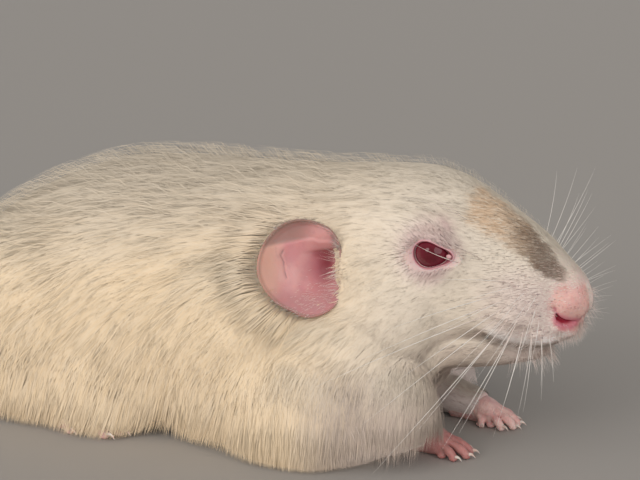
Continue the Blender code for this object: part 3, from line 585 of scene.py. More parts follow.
# %% [markdown]
# The face is then modelled: dabs raise or lower a soft round place each. The lie of the mouth
# is a groove bent round the muzzle, and a nostril is a comma-shaped pit. The eye sockets are pressed in here too.
# The face needs a finer mesh than the body, whose skin hardly shows, so its quads are halved first.

# %% Model the face
DABS = (  # centre, radius, push; each on both sides
    ((14.0, 8.0, 26.2), (5.0, 3.4, 3.4), (0.2, 1.2, -0.1)),  # whisker pad
    ((18.8, 5.2, 24.0), (2.6, 2.4, 2.4), (0.3, 0.8, -0.2)),  # upper lip beside the nose
    ((19.6, 4.6, 30.2), (1.0, 2.0, 2.6), (0.0, -0.35, 0.0)),  # crease behind the nose
    ((6.0, 10.6, 35.4), (3.4, 3.0, 3.0), (0.0, 0.25, 0.0)),  # before the eye
    ((-0.2, 11.6, 42.4), (4.6, 3.4, 2.6), (0.0, 0.6, 0.6)),  # brow
    ((-6.5, 15.0, 37.5), (5.0, 4.0, 5.0), (0.0, -0.9, 0.0)),  # temple
    ((2.0, 12.6, 29.5), (5.0, 4.0, 4.0), (0.0, 0.4, 0.0)),  # under the eye
    ((0.2, 11.0, 37.5), (6.5, 5.0, 6.0), (0.0, 1.35, 0.0)),  # the swelling that the eye sits in
    ((4.6, 11.8, 37.4), (2.6, 2.4, 3.6), (0.3, 0.8, 0.0)),  # ridge from the corner of the eye to the snout
    ((21.6, 4.5, 25.3), (1.3, 1.2, 0.8), (0.15, 0.40, -0.1)),  # lower wing of the nostril
    ((22.4, 4.1, 28.6), (1.5, 1.1, 1.5), (0.15, 0.42, 0.05)),  # upper wing of the nostril
    ((20.0, 5.2, 27.4), (0.8, 1.2, 1.7), (-0.1, -0.45, 0.0)),  # hollow behind the nostril
    ((21.8, 4.4, 23.4), (1.6, 1.5, 0.8), (-0.3, -0.35, 0.1)),  # step from the nose down to the lip
    ((-11.5, 15.0, 34.5), (3.4, 4.0, 7.5), (0.0, 0.9, 0.2)),  # where the front edge of the ear runs into the cheek
)
MIDDLE_DABS = (
    ((24.4, 0.0, 24.6), (2.0, 0.8, 2.6), (-0.8, 0.0, 0.3)),  # cleft under the nose
    ((25.6, 0.0, 29.5), (1.2, 0.6, 1.8), (-0.3, 0.0, 0.0)),  # its furrow up the nose
)
MOUTH_AXIS = 11.0  # x of the upright axis that the lips bend round
MOUTH = (  # degrees from the front, and height
    (0, 22.2), (14, 21.9), (32, 20.9), (48, 20.5), (65, 21.0), (85, 22.1), (105, 23.6),
)
NOSTRIL = np.array([
    (23.4, 2.5, 26.0), (22.8, 3.3, 25.8), (22.15, 4.05, 25.85), (21.6, 4.6, 26.3), (21.1, 5.05, 27.3),
])
NOSTRIL_RADII = np.array([0.42, 0.50, 0.56, 0.48, 0.22])
FOLDS = (  # the creases of the nose: path, radius, depth
    (np.array([(22.9, 3.0, 26.3), (24.0, 1.9, 25.9), (24.9, 1.3, 27.3), (25.2, 1.2, 29.0)]), 0.34, 0.26),
    (np.array([(20.8, 5.0, 25.6), (21.5, 4.6, 25.0), (22.5, 3.7, 25.0)]), 0.26, 0.28),
    (np.array([(20.6, 5.2, 28.3), (20.7, 5.3, 27.4), (20.9, 5.3, 26.6)]), 0.46, 0.40),
)


def dab(points, centre, radius, push):
    """Moves points near a centre by push times exp(-d squared), d being the distance over the radius."""
    away = (((points - centre) / radius) ** 2).sum(1)
    return points + np.exp(-away)[:, None] * np.asarray(push, float)


def dab_both(points, centre, radius, push):
    for _, side in SIDES:
        flip = (1.0, side, 1.0)
        points = dab(points, np.multiply(centre, flip), radius, np.multiply(push, flip))
    return points


def to_path(points, path, radii):
    """Distance from each point to a bent line, over the line's radius there, and how far along the line it is."""
    best, along = np.full(len(points), 1e9), np.zeros(len(points))
    for k, (a, b) in enumerate(zip(path[:-1], path[1:])):
        t = np.clip((points - a) @ (b - a) / ((b - a) @ (b - a)), 0, 1)
        radius = radii[k] + t * (radii[k + 1] - radii[k])
        away = np.linalg.norm(points - a - t[:, None] * (b - a), axis=1) / radius
        nearer = away < best
        best, along = np.where(nearer, away, best), np.where(nearer, (k + t) / (len(path) - 1), along)
    return best, along


def mouth_gap(points):
    """Height above the mouth line, and how strongly the line is there, from 1 in front to 0 behind its corners."""
    angle = np.degrees(np.abs(np.arctan2(points[:, 1], points[:, 0] - MOUTH_AXIS)))
    height = through(MOUTH, angle)[:, 0]
    reach = np.hypot(points[:, 0] - MOUTH_AXIS, points[:, 1])
    return points[:, 2] - height, soft(angle, 104, 88) * soft(reach, 2.5, 4.0)


def refine(obj, chosen):
    """Halves the quads whose points are all chosen."""
    work = bmesh.new()
    work.from_mesh(obj.data)
    work.verts.ensure_lookup_table()
    marks = chosen(points_of(obj))
    edges = [e for e in work.edges if marks[e.verts[0].index] and marks[e.verts[1].index]]
    bmesh.ops.subdivide_edges(work, edges=edges, cuts=1, use_grid_fill=True)
    bmesh.ops.triangulate(work, faces=[f for f in work.faces if len(f.verts) > 4])
    work.to_mesh(obj.data)
    work.free()


COAT_DEPTH = (  # x, and mm from the skin to the tips
    (26, 0.0), (21.5, 0.0), (19, 0.15), (15, 0.25), (8, 0.40), (0, 0.55), (-8, 0.7), (-16, 0.8), (-30, 0.95),
    (-50, 1.1), (-108, 1.1), (-114, 0.7), (-117.5, 0.3), (-119, 0.0),
)


def coat_depth(points):
    """How deep the coat lies over the skin, in mm: less on the forearms and close to the floor."""
    x, _, z = points.T
    depth = through(COAT_DEPTH, x)[:, 0]
    arm = soft(x, -13, -5) * soft(z, 11.5, 9.0)
    depth = depth * (1 - arm) + arm * 0.35
    return np.minimum(depth, 0.25 + 2.4 * soft(z, 0.0, 6.0))


MOUND, MOUND_SOFT = 3.92, 0.80  # radius of the lids' mound round the eyeball, and how softly it joins the face
SOCKET = 2.9  # how near to the eye's middle the skin is pressed in behind the lids
EYE_OPENING, CANTHUS, EYE_TILT = (3.05, 2.5), 1.45, -3.5  # half length and height, front corner, degrees of slope
ARC = 3.55  # mm along the lids for one radian round the eye's middle


def almond(angle):
    """Reach of the lids' edge from the eye's axis, in mm along the lids, at this angle from straight ahead: an oval
    3.05 by 2.5, with a corner added in front as cos to the 8th power, and leant with the front down."""
    turned = angle - math.radians(EYE_TILT)
    c, s = np.cos(turned), np.sin(turned)
    ahead = EYE_OPENING[0] * c + CANTHUS * np.clip(c, 0, 1) ** 8
    return np.hypot(ahead, EYE_OPENING[1] * s * (1 - 0.1 * np.clip(c, 0, 1)))


def corner(angle):
    """How near an angle round the eye is to its front corner, 0 to 1: there the lids stand off the ball."""
    return np.clip(np.cos(angle - math.radians(EYE_TILT)), 0, 1) ** 14


def almond_share(away, side):
    """For points about an eye's middle: how far out they are from its axis, as a share of the lids' edge there."""
    reach = np.maximum(np.linalg.norm(away, axis=1), 1e-6)
    off = np.arccos(np.clip(away[:, 1] * side / reach, -1, 1))
    edge = almond(np.arctan2(away[:, 2], away[:, 0]))
    return np.where(reach < 8, off * ARC / edge, 9.0)


eye_centres = {name: np.array([0.0, side * EYE_OUT, EYE_HEIGHT]) for name, side in SIDES}
refine(skin, lambda p: (p[:, 0] > -9) & (p[:, 2] > 12))
smoothed(skin, 4)
refine(skin, lambda p: (p[:, 0] > 15.5) & (p[:, 2] > 16.5))
smoothed(skin, 2, soft(points_of(skin)[:, 0], 14.0, 16.0))

points = points_of(skin)
points -= normals_of(skin) * coat_depth(points)[:, None]
for one in DABS:
    points = dab_both(points, *one)
for one in MIDDLE_DABS:
    points = dab(points, *one)
move_points(skin, points)
normals = normals_of(skin)
above, strength = mouth_gap(points)
roll = 0.70 * hump(above, 1.15, 1.7) - 0.20 * hump(above, 0.9, 4.2) - 0.30 * hump(above, 0.9, -1.3)
groove = 1.05 * hump(above, 0.36)
points = points + normals * ((roll - groove) * strength)[:, None]
pit, flush = np.zeros(len(points)), np.zeros(len(points))
for _, side in SIDES:
    away, along = to_path(points, NOSTRIL * (1, side, 1), NOSTRIL_RADII)
    sunk = np.exp(-(away**4))
    pit = np.maximum(pit, sunk)
    flush = np.maximum(flush, hump(away, 2.9))
    inward = np.array((-0.62, -0.60 * side, 0.42))
    push = sunk[:, None] * inward * 1.25
    for fold, radius, deep in FOLDS:
        off, _ = to_path(points, fold * (1, side, 1), np.full(len(fold), radius))
        push = push - normals * (deep * hump(off, 1.0))[:, None]
        flush = np.maximum(flush, 0.8 * hump(off, 1.3))
    points = points + push
for centre in eye_centres.values():
    away, side = points - centre, np.sign(centre[1])
    reach = np.maximum(np.linalg.norm(away, axis=1), 1e-6)
    near = reach < 9
    # A soft maximum with a ball gives the mound: r + k log(1 + e^((R - r) / k)).
    mound = MOUND + 0.55 * corner(np.arctan2(away[:, 2], away[:, 0]))
    raised = reach + MOUND_SOFT * np.log1p(np.exp((mound - reach) / MOUND_SOFT))
    outside = soft(away[:, 1] * side, -1.5, 0.5)
    reach_now = np.where(near, reach + (raised - reach) * outside, reach)
    share = soft(almond_share(away, side), 1.15, 1.03)
    reach_now = reach_now + share * (np.minimum(reach_now, SOCKET) - reach_now)
    points = centre + away * (reach_now / reach)[:, None]
points[:, 2] = np.maximum(points[:, 2], 0.15)
move_points(skin, points)
skin_nostril_shade, skin_deep_pink_and_shade = pit, flush
print("modelled skin:", len(points), "points")

# %% [markdown]
# A rat's eye is nearly a full ball that sits proud of the head, held by two thin lids. The ball is made on a grid
# of latitude and longitude about its own axis, with the cornea bulging a little. In a rat without pigment the iris
# is clear, so the eye shows the blood behind it: a dark ruby, almost black in the middle. A clear coat makes it wet.

# %% Eyes
EYE_AXIS = np.array((0.22, 0.95, 0.10))
CORNEA_RISE, CORNEA_SPREAD = 0.12, 34  # mm, and degrees from the axis


def eyeball(name, side):
    """A ball about its axis, raised by 0.12 exp(-(angle / 34 degrees)^2) over the cornea."""
    rows, around = 40, 64
    axis = EYE_AXIS * (1, side, 1) / np.linalg.norm(EYE_AXIS)
    first = np.cross(axis, (0, 0, 1))
    first /= np.linalg.norm(first)
    second = np.cross(axis, first)
    down = np.linspace(0, math.pi, rows + 2)[1:-1]
    angle = turns(around)
    reach = EYE_RADIUS - CORNEA_RISE + CORNEA_RISE * hump(np.degrees(down), CORNEA_SPREAD)
    ball = (np.sin(down) * reach)[:, None, None] * (
        np.cos(angle)[None, :, None] * first + np.sin(angle)[None, :, None] * second
    ) + (np.cos(down) * reach)[:, None, None] * axis
    centre = eye_centres[name]
    front, back = centre + axis * EYE_RADIUS, centre - axis * (EYE_RADIUS - CORNEA_RISE)
    made = loft(f"eyeball_{name}", ball + centre, front, back)
    off = np.degrees(np.arccos(np.clip((points_of(made) - centre) @ axis / EYE_RADIUS, -1, 1)))
    set_attribute(made, "off_axis", off / 90)
    return made


wet = Finish("ruby_eye", Roughness=0.10, Coat_Weight=0.7, Coat_Roughness=0.02, IOR=1.38, Specular_IOR_Level=0.2)
off_axis = wet.attribute("off_axis")
rays = wet.noise(900, 4, 0.6)
wet.set(Base_Color=wet.layers(
    (0.118, 0.0075, 0.0150),
    (off_axis.between(0.14, 0.42), (0.166, 0.0125, 0.0270)),
    (off_axis.between(0.60, 0.98), (0.22, 0.038, 0.056)),
    (rays.between(0.35, 0.7) * 0.35, (0.075, 0.005, 0.011)),
))
for name, side in SIDES:
    finish_piece(eyeball(name, side), wet.material, "eye", f"eye_{name}")

# %% [markdown]
# The lids are one ring round the ball. Each row of the ring follows the almond of the opening a little further out:
# up between ball and lid, over the moist pink rim, down the outside of the mound, and under the skin of the face. A
# small pink bead, the third lid, fills the front corner.

# %% Lids
LID_ROWS = (  # mm beyond the lids' edge, distance from the eye's middle, and how much of the moist rim it is
    (0.45, 3.36, 1.0), (0.20, 3.40, 1.0), (0.03, 3.46, 1.0), (-0.04, 3.56, 1.0), (-0.02, 3.67, 1.0),
    (0.06, 3.76, 0.9), (0.17, 3.82, 0.7), (0.28, 3.84, 0.45), (0.40, 3.83, 0.25), (0.52, 3.80, 0.12),
    (0.66, 3.76, 0.05), (0.85, 3.68, 0.0), (1.10, 3.52, 0.0),
)


def lid_point(side, angle, beyond, reach):
    """The point at this angle round the opening: the angle off the axis is (edge + beyond) / 3.55 radians."""
    edge = almond(angle)
    off = (edge + beyond) / ARC
    out = np.stack([np.sin(off) * np.cos(angle), side * np.cos(off), np.sin(off) * np.sin(angle)], -1)
    return out * np.asarray(reach)[..., None]


def lids(name, side):
    """The ring of the lids: rows round the opening, each a little beyond the one before it."""
    angle = turns(128)
    rows = []
    for beyond, reach, _ in LID_ROWS:
        off_ball = 0.70 * corner(angle) * soft(reach, 3.38, 3.58)
        rows.append(lid_point(side, angle, beyond, reach + off_ball) + eye_centres[name])
    quads = ring_faces(len(rows), len(angle))
    made = build(f"lids_{name}", np.concatenate(rows), quads if side < 0 else quads[:, ::-1])
    set_attribute(made, "rim", np.repeat([row[2] for row in LID_ROWS], len(angle)))
    return made


def bead(name, side):
    """The third lid in the front corner: a small flattened egg."""
    front = math.radians(EYE_TILT + 1.0)
    place = lid_point(side, np.array([front]), -0.42, np.array([3.98]))[0] + eye_centres[name]
    made = egg(f"corner_{name}", place * (1, side, 1), (0.50, 0.34, 0.40), side, lean=4, around=20)
    set_attribute(made, "rim", np.full(len(made.data.vertices), 0.55))
    return made


lid_skin = Finish("lid_skin", Roughness=0.5, Coat_Roughness=0.1, **glow(0.25, 0.0012, 0.0004, 0.0003))
rim = lid_skin.attribute("rim")
mottle = lid_skin.noise(1600, 3, 0.6)
tone = lid_skin.layers(
    (0.72, 0.54, 0.55),
    (rim.between(0.0, 0.75), (0.72, 0.38, 0.41)),
    (mottle.between(0.35, 0.7) * 0.30, (0.78, 0.52, 0.52)),
    # painted shade: the rows tucked between lid and ball are dark red, for the shade of that crevice
    (rim.between(0.86, 1.0) * 0.9, (0.27, 0.06, 0.08)),
)
lid_skin.set(Base_Color=tone, Coat_Weight=rim * 0.08, Normal=lid_skin.bump(mottle, 0.00008, 0.6))
for name, side in SIDES:
    finish_piece(lids(name, side), lid_skin.material, "skin")
    finish_piece(bead(name, side), lid_skin.material, "skin")

# %% [markdown]
# An ear is a wide, thin bowl of skin: smooth and almost bare inside, so thin at the rim that light comes through,
# and deep at its front where the canal goes in. It is worked out as rings from the canal to the rim, over a rolled
# edge and back down the outside. The rim is an oval whose reach changes with the angle: it has two blunt corners in
# front and is drawn in below. Relief along the way it faces gives the folds: a lobe that turns in over the canal, a
# step under the upper band, a low lobe in front and a thin crease that curves down the middle.

# %% Ears
EAR_RIM, EAR_HALF = np.array([-20.4, 22.4, 34.2]), (7.3, 8.7)  # its middle, half its length and half its height
EAR_LOOK = np.array([0.41, 0.87, 0.22]) / np.linalg.norm([0.41, 0.87, 0.22])
ear_back = np.cross(EAR_LOOK, (0.0, 0.0, 1.0))
ear_back *= -np.sign(ear_back[0]) / np.linalg.norm(ear_back)
ear_up = np.cross(EAR_LOOK, ear_back)
ear_up *= np.sign(ear_up[2])
EAR_CANAL, EAR_DEPTH = (-0.64, 0.04), 4.0  # back and up from the middle in half sizes, and mm below the rim
EAR_ROOT = (EAR_RIM + EAR_CANAL[0] * EAR_HALF[0] * ear_back + EAR_CANAL[1] * EAR_HALF[1] * ear_up
            - EAR_DEPTH * EAR_LOOK)
EAR_OUTLINE = (  # degrees up from straight back, and reach in half sizes
    (-180, 1.00), (-163, 1.06), (-147, 1.10), (-125, 1.02), (-100, 0.91), (-73, 0.79), (-42, 0.82), (-15, 0.91),
    (0, 0.96), (25, 0.98), (60, 1.0), (90, 1.02), (116, 1.06), (132, 1.12), (148, 1.08), (165, 1.01), (180, 1.00),
)
EAR_CREASE = np.array([(0.40, 0.42), (0.47, 0.33), (0.385, 0.18), (0.375, 0.0), (0.32, -0.14)])
EAR_BAND = ((-1.2, 0.62), (-0.5, 0.62), (-0.28, 0.67), (0.23, 0.60), (0.79, 0.50), (1.2, 0.42))  # back, up


def ear_place(points):
    """Where points are on the ear's face: back and up from its middle, each as a share of its half size."""
    return (points - EAR_RIM) @ ear_back / EAR_HALF[0], (points - EAR_RIM) @ ear_up / EAR_HALF[1]


def ear_share(points, side):
    """How far out points are on the ear's face, as a share of its rim; 9 for those that are not beside it."""
    own = points * (1, side, 1)
    b, u = ear_place(own)
    beside = (own - EAR_RIM) @ EAR_LOOK
    rim = through(EAR_OUTLINE, np.degrees(np.arctan2(u, b)))[:, 0]
    return np.where((beside > -9) & (beside < 4) & (points[:, 1] * side > 5), np.hypot(b, u) / rim, 9.0)


def ear_opening(points, side):
    """The same, as a share of the part that stays open: in front the cheek's hair covers the rim's last 8 %."""
    b, _ = ear_place(points * (1, side, 1))
    return ear_share(points, side) / (1 - 0.08 * soft(b, -0.45, -0.80))


def to_line(b, u, line):
    """Distance from points on the ear's face to a bent line on it."""
    best = np.full(np.shape(b), 9.0)
    for (b0, u0), (b1, u1) in zip(line[:-1], line[1:]):
        t = np.clip(((b - b0) * (b1 - b0) + (u - u0) * (u1 - u0)) / ((b1 - b0) ** 2 + (u1 - u0) ** 2), 0, 1)
        best = np.minimum(best, np.hypot(b - b0 - t * (b1 - b0), u - u0 - t * (u1 - u0)))
    return best


def blob(b, u, at, size):
    """exp(-d squared) about a place on the ear's face."""
    return np.exp(-(((b - at[0]) / size[0]) ** 2) - ((u - at[1]) / size[1]) ** 2)


def above_band(b, u):
    """0 below the step under the ear's upper band, 1 above it."""
    return soft(u - through(EAR_BAND, b.ravel()).reshape(b.shape), -0.05, 0.05)


def ear_fold(b, u):
    """The lobe of the upper front corner that turns in over the canal, with a sharp lower edge."""
    return blob(b, u, (-0.56, 0.70), (0.38, 0.28)) * soft(u + 0.12 * (b + 0.6), 0.42, 0.47)


def ear_inner(t, angle):
    """The inside of the left ear at a share t of the way from the canal to the rim. The rings' middle runs from the
    canal to the rim's by t^1.25 and their reach grows as t^0.7. Of the edge, the back stands up to 1.3 mm out from
    the flat oval and the front up to 2.3 mm in."""
    c, s = np.cos(angle), np.sin(angle)
    rim = through(EAR_OUTLINE, (np.degrees(angle) + 180) % 360 - 180)[:, 0]
    middle = EAR_ROOT + (EAR_RIM - EAR_ROOT) * (t**1.25)[..., None]
    spread = t**0.7 * rim
    lift = 1.3 * t**3 * np.clip(c, 0, 1) ** 2
    lift = lift - 2.3 * t**2 * np.clip(-c, 0, 1) ** 1.6 * (1 - 0.6 * np.clip(s, 0, 1))
    wave = 0.20 * t**4 * np.sin(5 * angle + 0.6) + 0.16 * t**4 * np.sin(3 * angle + 2.0)
    back, up = EAR_HALF[0] * c * spread, EAR_HALF[1] * s * spread
    inner = middle + back[..., None] * ear_back + up[..., None] * ear_up + (lift + wave)[..., None] * EAR_LOOK
    b, u = ear_place(inner)
    open_part = 1 - soft(np.broadcast_to(t, b.shape), 0.86, 1.0)
    crease = to_line(b, u, EAR_CREASE)
    relief = 0.7 * blob(b, u, (-0.45, -0.55), (0.32, 0.20)) + 0.45 * blob(b, u, (0.05, 0.05), (0.24, 0.36))
    relief += 0.16 * hump(crease, 0.12) - 0.22 * hump(crease, 0.022)
    relief -= 0.40 * above_band(b, u)
    fold = 1.5 * ear_fold(b, u) * (1 - 0.6 * soft(t, 0.9, 1.0))
    return inner + (relief * open_part + fold)[..., None] * EAR_LOOK


def ear(name, side):
    """One ear as a closed skin of bowl, rolled edge and back, with the numbers that its colours read."""
    rows = 50
    t = np.linspace(0.06, 1.0, rows)[:, None]
    inner = ear_inner(t, turns(160))
    out = unit(np.cross(np.gradient(inner, axis=0), np.roll(inner, -1, 1) - np.roll(inner, 1, 1)))
    out *= -np.sign((out @ EAR_LOOK).mean())
    outer = inner + unit(out * 0.5 - EAR_LOOK * 0.5) * (0.55 + 0.6 * (1 - t))[..., None]
    edge_way = unit(inner[-1] - inner[-2])
    middle, across = (inner[-1] + outer[-1]) / 2, (inner[-1] - outer[-1]) / 2
    roll = [middle + across * math.cos(turn) + edge_way * 0.32 * math.sin(turn)
            for turn in np.radians([30, 60, 90, 120, 150])]
    rings = np.concatenate([inner, roll, outer[::-1]])
    first, last = EAR_ROOT - EAR_LOOK * 0.6, EAR_ROOT - EAR_LOOK * 2.2
    made = loft(f"pinna_{name}", rings * (1, side, 1), first * (1, side, 1), last * (1, side, 1))
    inside = np.concatenate([np.ones(rows), np.linspace(1, 0, 5), np.zeros(rows)])[:, None]
    b, u = ear_place(rings)
    turn = np.degrees(np.arctan2(u, b))
    rolled = np.concatenate([soft(t[:, 0], 0.94, 0.99), np.ones(5), 1 - soft(np.linspace(0, 1, rows), 0.0, 0.05)])
    fold = ear_fold(b, u)
    # painted shadow: a dark line under the lobe's lower edge, where it overhangs the canal
    shadow_under_fold = 0.75 * hump(u + 0.12 * (b + 0.6), 0.05, 0.37) * soft(b, -0.22, -0.42) * soft(b, -0.98, -0.9)
    looks = {
        "inside": inside + 0 * b,
        # painted shade: the canal and the hollow round it are darkened as a deep recess
        "deep": blob(b, u, (-0.64, 0.12), (0.24, 0.36)) * inside * (1 - fold),
        "canal_shade": blob(b, u, (-0.48, 0.14), (0.36, 0.54)) * inside * (1 - fold),
        # painted highlight: the lobe is lighter where it faces the light
        "lobe": fold.clip(0, 1) * inside,
        "under": shadow_under_fold * inside,
        # painted shadow of the upper rim, which curls forward over the band
        "band_shadow": above_band(b, u) * inside * (1 - fold),
        "crease": hump(to_line(b, u, EAR_CREASE), 0.014) * inside,
        "edge": rolled[:, None] * (0.62 + 0.38 * soft(turn, 10, 45) * soft(turn, 165, 130)),
        "back": b, "up": u,
    }
    for label, value in looks.items():
        set_attribute(made, label, np.concatenate([value.ravel(), [value[0].mean(), value[-1].mean()]]))
    return made


def press_under(made, side):
    """Lowers the skin to 1.2 mm below the ear's bowl wherever it would stand through it."""
    bowl = tree_of(made)
    look, far, clear = EAR_LOOK * (1, side, 1), 15.0, 1.2
    points = points_of(skin)
    for k in np.flatnonzero(ear_opening(points, side) < 1.12):
        place, _, _, away = bowl.ray_cast(Vector(points[k] + look * far), Vector(-look))
        if place is not None and away > far - clear:
            points[k] += look * (far - clear - away)
    move_points(skin, points)
    share = ear_share(points_of(skin), side)
    smoothed(skin, 10, soft(share, 0.96, 1.02) * soft(share, 1.45, 1.25))


thin = Finish("ear_skin", Roughness=0.5, **glow(0.5, 0.0014, 0.0004, 0.0003))
clouds, veins = thin.noise(260, 3, 0.55), thin.noise(520, 4, 0.65)
tone = thin.layers(
    (0.69, 0.31, 0.32),
    (clouds.between(0.35, 0.65), (0.78, 0.41, 0.40)),
    (thin.attribute("back").between(0.25, 0.75) * 0.8, (0.80, 0.49, 0.38)),
    (thin.attribute("up").between(-0.25, -0.65) * 0.7, (0.48, 0.21, 0.22)),
    # painted shadow on the upper band, under the curling rim
    (thin.attribute("band_shadow") * 0.90, (0.44, 0.265, 0.235)),
    # painted shade in the hollow round the canal
    (thin.attribute("canal_shade") * 0.85, (0.47, 0.12, 0.15)),
    # painted highlight on the lobe, then painted shadow under its edge
    (thin.attribute("lobe") * 0.75, (0.80, 0.42, 0.40)),
    (thin.attribute("under"), (0.36, 0.09, 0.10)),
    (thin.attribute("crease") * 0.55, (0.22, 0.10, 0.10)),
    (veins.between(0.60, 0.72) * 0.30, (0.56, 0.22, 0.23)),
    # painted shade: the deepest part of the canal
    (thin.attribute("deep").clip(), (0.26, 0.035, 0.050)),
    (thin.attribute("inside").between(0.6, 0.2), (0.70, 0.48, 0.43)),
    (thin.attribute("edge") * 0.80, (0.28, 0.18, 0.14)),
)
grain = thin.noise(3200, 3, 0.6)
bowls = {}  # a copy of each ear in the own frame, for its hairs to be strewn on
thin.set(Base_Color=tone, Normal=thin.bump(grain + veins * 2.0, 0.00007, 0.5))
for name, side in SIDES:
    made = ear(name, side)
    press_under(made, side)
    bowls[name] = bpy.data.objects.new("bowl", made.data.copy())
    finish_piece(made, thin.material, "ear", f"ear_{name}")

# %% [markdown]
# Hands and feet are bare: a palm or sole with fingers or toes that arch at the knuckles and end in soft pads. Each
# is fused from tubes and ovals by a fine remesh and evened, so that the webs between the digits come of themselves.
# Folds across the knuckles are in the bump. The claws are horn, so each is a small hooked cone of its own.

# %% Hands and feet
FINGERS = (  # where it leaves the palm (ahead, out), length, heading in degrees, radius
    ((3.6, -2.1), 3.6, -13.0, 0.80), ((4.3, -0.75), 4.5, -4.0, 0.85), ((4.3, 0.75), 4.4, 5.0, 0.85),
    ((3.4, 2.1), 3.6, 17.0, 0.80),
)
THUMB = ((2.0, -2.6), 1.4, -40.0, 0.65)
TOES = (
    ((22.0, -3.2), 5.4, -16.0, 1.0), ((24.6, -2.0), 8.0, -5.0, 1.05), ((25.4, 0.0), 8.6, 1.0, 1.1),
    ((24.8, 2.0), 8.2, 7.0, 1.05), ((20.6, 3.5), 5.2, 18.0, 0.95),
)
# ahead, half width, half height
HAND = ((-5.0, 2.4, 2.7), (0.0, 2.6, 2.8), (1.6, 2.9, 2.7), (3.2, 3.0, 2.4), (4.4, 2.8, 2.0))
FOOT = ((0.0, 2.3, 2.9), (4.0, 2.9, 3.0), (12.0, 3.0, 2.7), (20.0, 4.0, 2.4), (25.0, 4.1, 2.0))
CLAW_FORE, CLAW_HIND, KNUCKLE_FORE, KNUCKLE_HIND = 1.2, 2.0, 2.0, 0.9
SOLE = -0.12  # how far the pads sink, which gives them their flats
HAND_TURN, FOOT_PLACE, FOOT_TURN = -6.0, np.array([-88.0, 24.5, 0.0]), 9.0


def placed(points, origin, heading):
    """Points from a hand's or foot's own frame (ahead, out, up), turned about the upright and set down at origin."""
    a = math.radians(heading)
    turn = np.array([[math.cos(a), -math.sin(a), 0.0], [math.sin(a), math.cos(a), 0.0], [0.0, 0.0, 1.0]])
    return np.asarray(points, float) @ turn.T + origin


def digit(start, length, heading, radius, knuckle, claw):
    """A finger's own line, radii and claw: an arch of half a sine on a slope from the knuckle down."""
    t = np.linspace(0, 1, 15)
    a = math.radians(heading)
    arch = 0.65 * radius * np.sin(math.pi * t) + knuckle * (1 - t) ** 1.3
    flat = np.array((math.cos(a), math.sin(a)))
    own = np.column_stack([np.asarray(start) + (t * length)[:, None] * flat, radius + SOLE + arch])
    thick = radius * (1.0 + 0.16 * np.cos(3 * math.pi * t) - 0.16 * t + 0.10 * hump(t, 0.1, 0.92))
    c = np.linspace(0, 1, 8)
    reach = (0.30 * radius + claw * c)[:, None] * flat
    height = own[-1, 2] + 0.35 * radius + 0.10 * claw * np.sin(math.pi * c) - 0.6 * radius * c**2
    hook = np.column_stack([own[-1, :2] + reach, height])
    return own, thick, hook, 0.36 * (1 - 0.9 * c) * (1 + 0.3 * (claw > 1.5))


def palm_rings(sizes, origin, turn, side):
    """Ovals through the palm's or sole's sizes, and a point beyond each end."""
    places = np.linspace(sizes[0][0], sizes[-1][0], 24)
    angle = turns(28)
    rings = []
    for x, (half, high) in zip(places, through(sizes, places)):
        ring = np.stack([np.full(len(angle), x), half * np.cos(angle), SOLE + high + high * np.sin(angle)], 1)
        rings.append(placed(ring, origin, turn) * (1, side, 1))
    ends = [(sizes[0][0] - 1.2, 0.0, SOLE + sizes[0][2]), (sizes[-1][0] + 0.8, 0.0, SOLE + sizes[-1][2])]
    first, last = placed(ends, origin, turn) * (1, side, 1)
    return rings, first, last


def extremity(label, name, side, sizes, digits, knuckle, claw, origin, turn, voxel):
    """A whole hand or foot, and its claws as a second piece."""
    parts, claws = [loft("palm", *palm_rings(sizes, origin, turn, side))], []
    flip = (1, side, 1)
    for one in digits:
        short = one is THUMB
        own, thick, hook, horn = digit(*one, knuckle * (0.7 if short else 1), claw * (0.4 if short else 1))
        parts.append(tube("digit", placed(own, origin, turn) * flip, thick, 20))
        claws.append(tube("claw", placed(hook, origin, turn) * flip, horn, 10, blunt=0.9))
        tip, ball = placed([own[-2], own[3]], origin, turn)
        low = one[3] * 0.95
        for centre, radii in (
            ((tip[0] - 0.1, tip[1], low * 0.78), (low * 1.05, low * 0.98, low * 0.74)),
            ((ball[0], ball[1], low * 0.8), (low * 1.2, low * 1.1, low * 0.8)),
        ):
            parts.append(egg("pad", centre, radii, side, around=20))
    flesh = smoothed(remeshed(join(f"{label}_{name}", parts), voxel), 7)
    points = points_of(flesh)
    points[:, 2] = np.maximum(points[:, 2], 0.02)
    move_points(flesh, points)
    horn = join(f"claws_{label}_{name}", claws)
    shade_smooth(horn)
    shade_smooth(flesh)
    return flesh, horn


bare = Finish("bare_skin", Roughness=0.52, **glow(0.35, 0.0016, 0.0005, 0.0004))
mottle, grain = bare.noise(420, 3, 0.6), bare.noise(2600, 3, 0.65)
folds = bare.noise(900, 2, 0.5, (2.4, 0.5, 0.8))
tone = bare.layers(
    (0.72, 0.40, 0.38),
    (mottle.between(0.35, 0.65), (0.86, 0.58, 0.53)),
    (grain.between(0.55, 0.75) * 0.35, (0.92, 0.72, 0.66)),
    (folds.between(0.36, 0.30) * 0.4, (0.55, 0.24, 0.24)),
    # painted shade: the right hand is darker red where the chest shades it
    (bare.attribute("painted_shade") * 0.75, (0.40, 0.13, 0.12)),
)
bare.set(Base_Color=tone, Normal=bare.bump(folds + grain * 0.5, 0.00022, 0.7))
claw_horn = Finish("claw_horn", Roughness=0.32, **glow(0.3, 0.001, 0.0005, 0.0004))
streak = claw_horn.noise(1800, 2, 0.5, (0.3, 1, 1))
claw_horn.set(Base_Color=claw_horn.mix(streak.between(0.35, 0.65), (0.66, 0.48, 0.42), (0.80, 0.68, 0.61)))
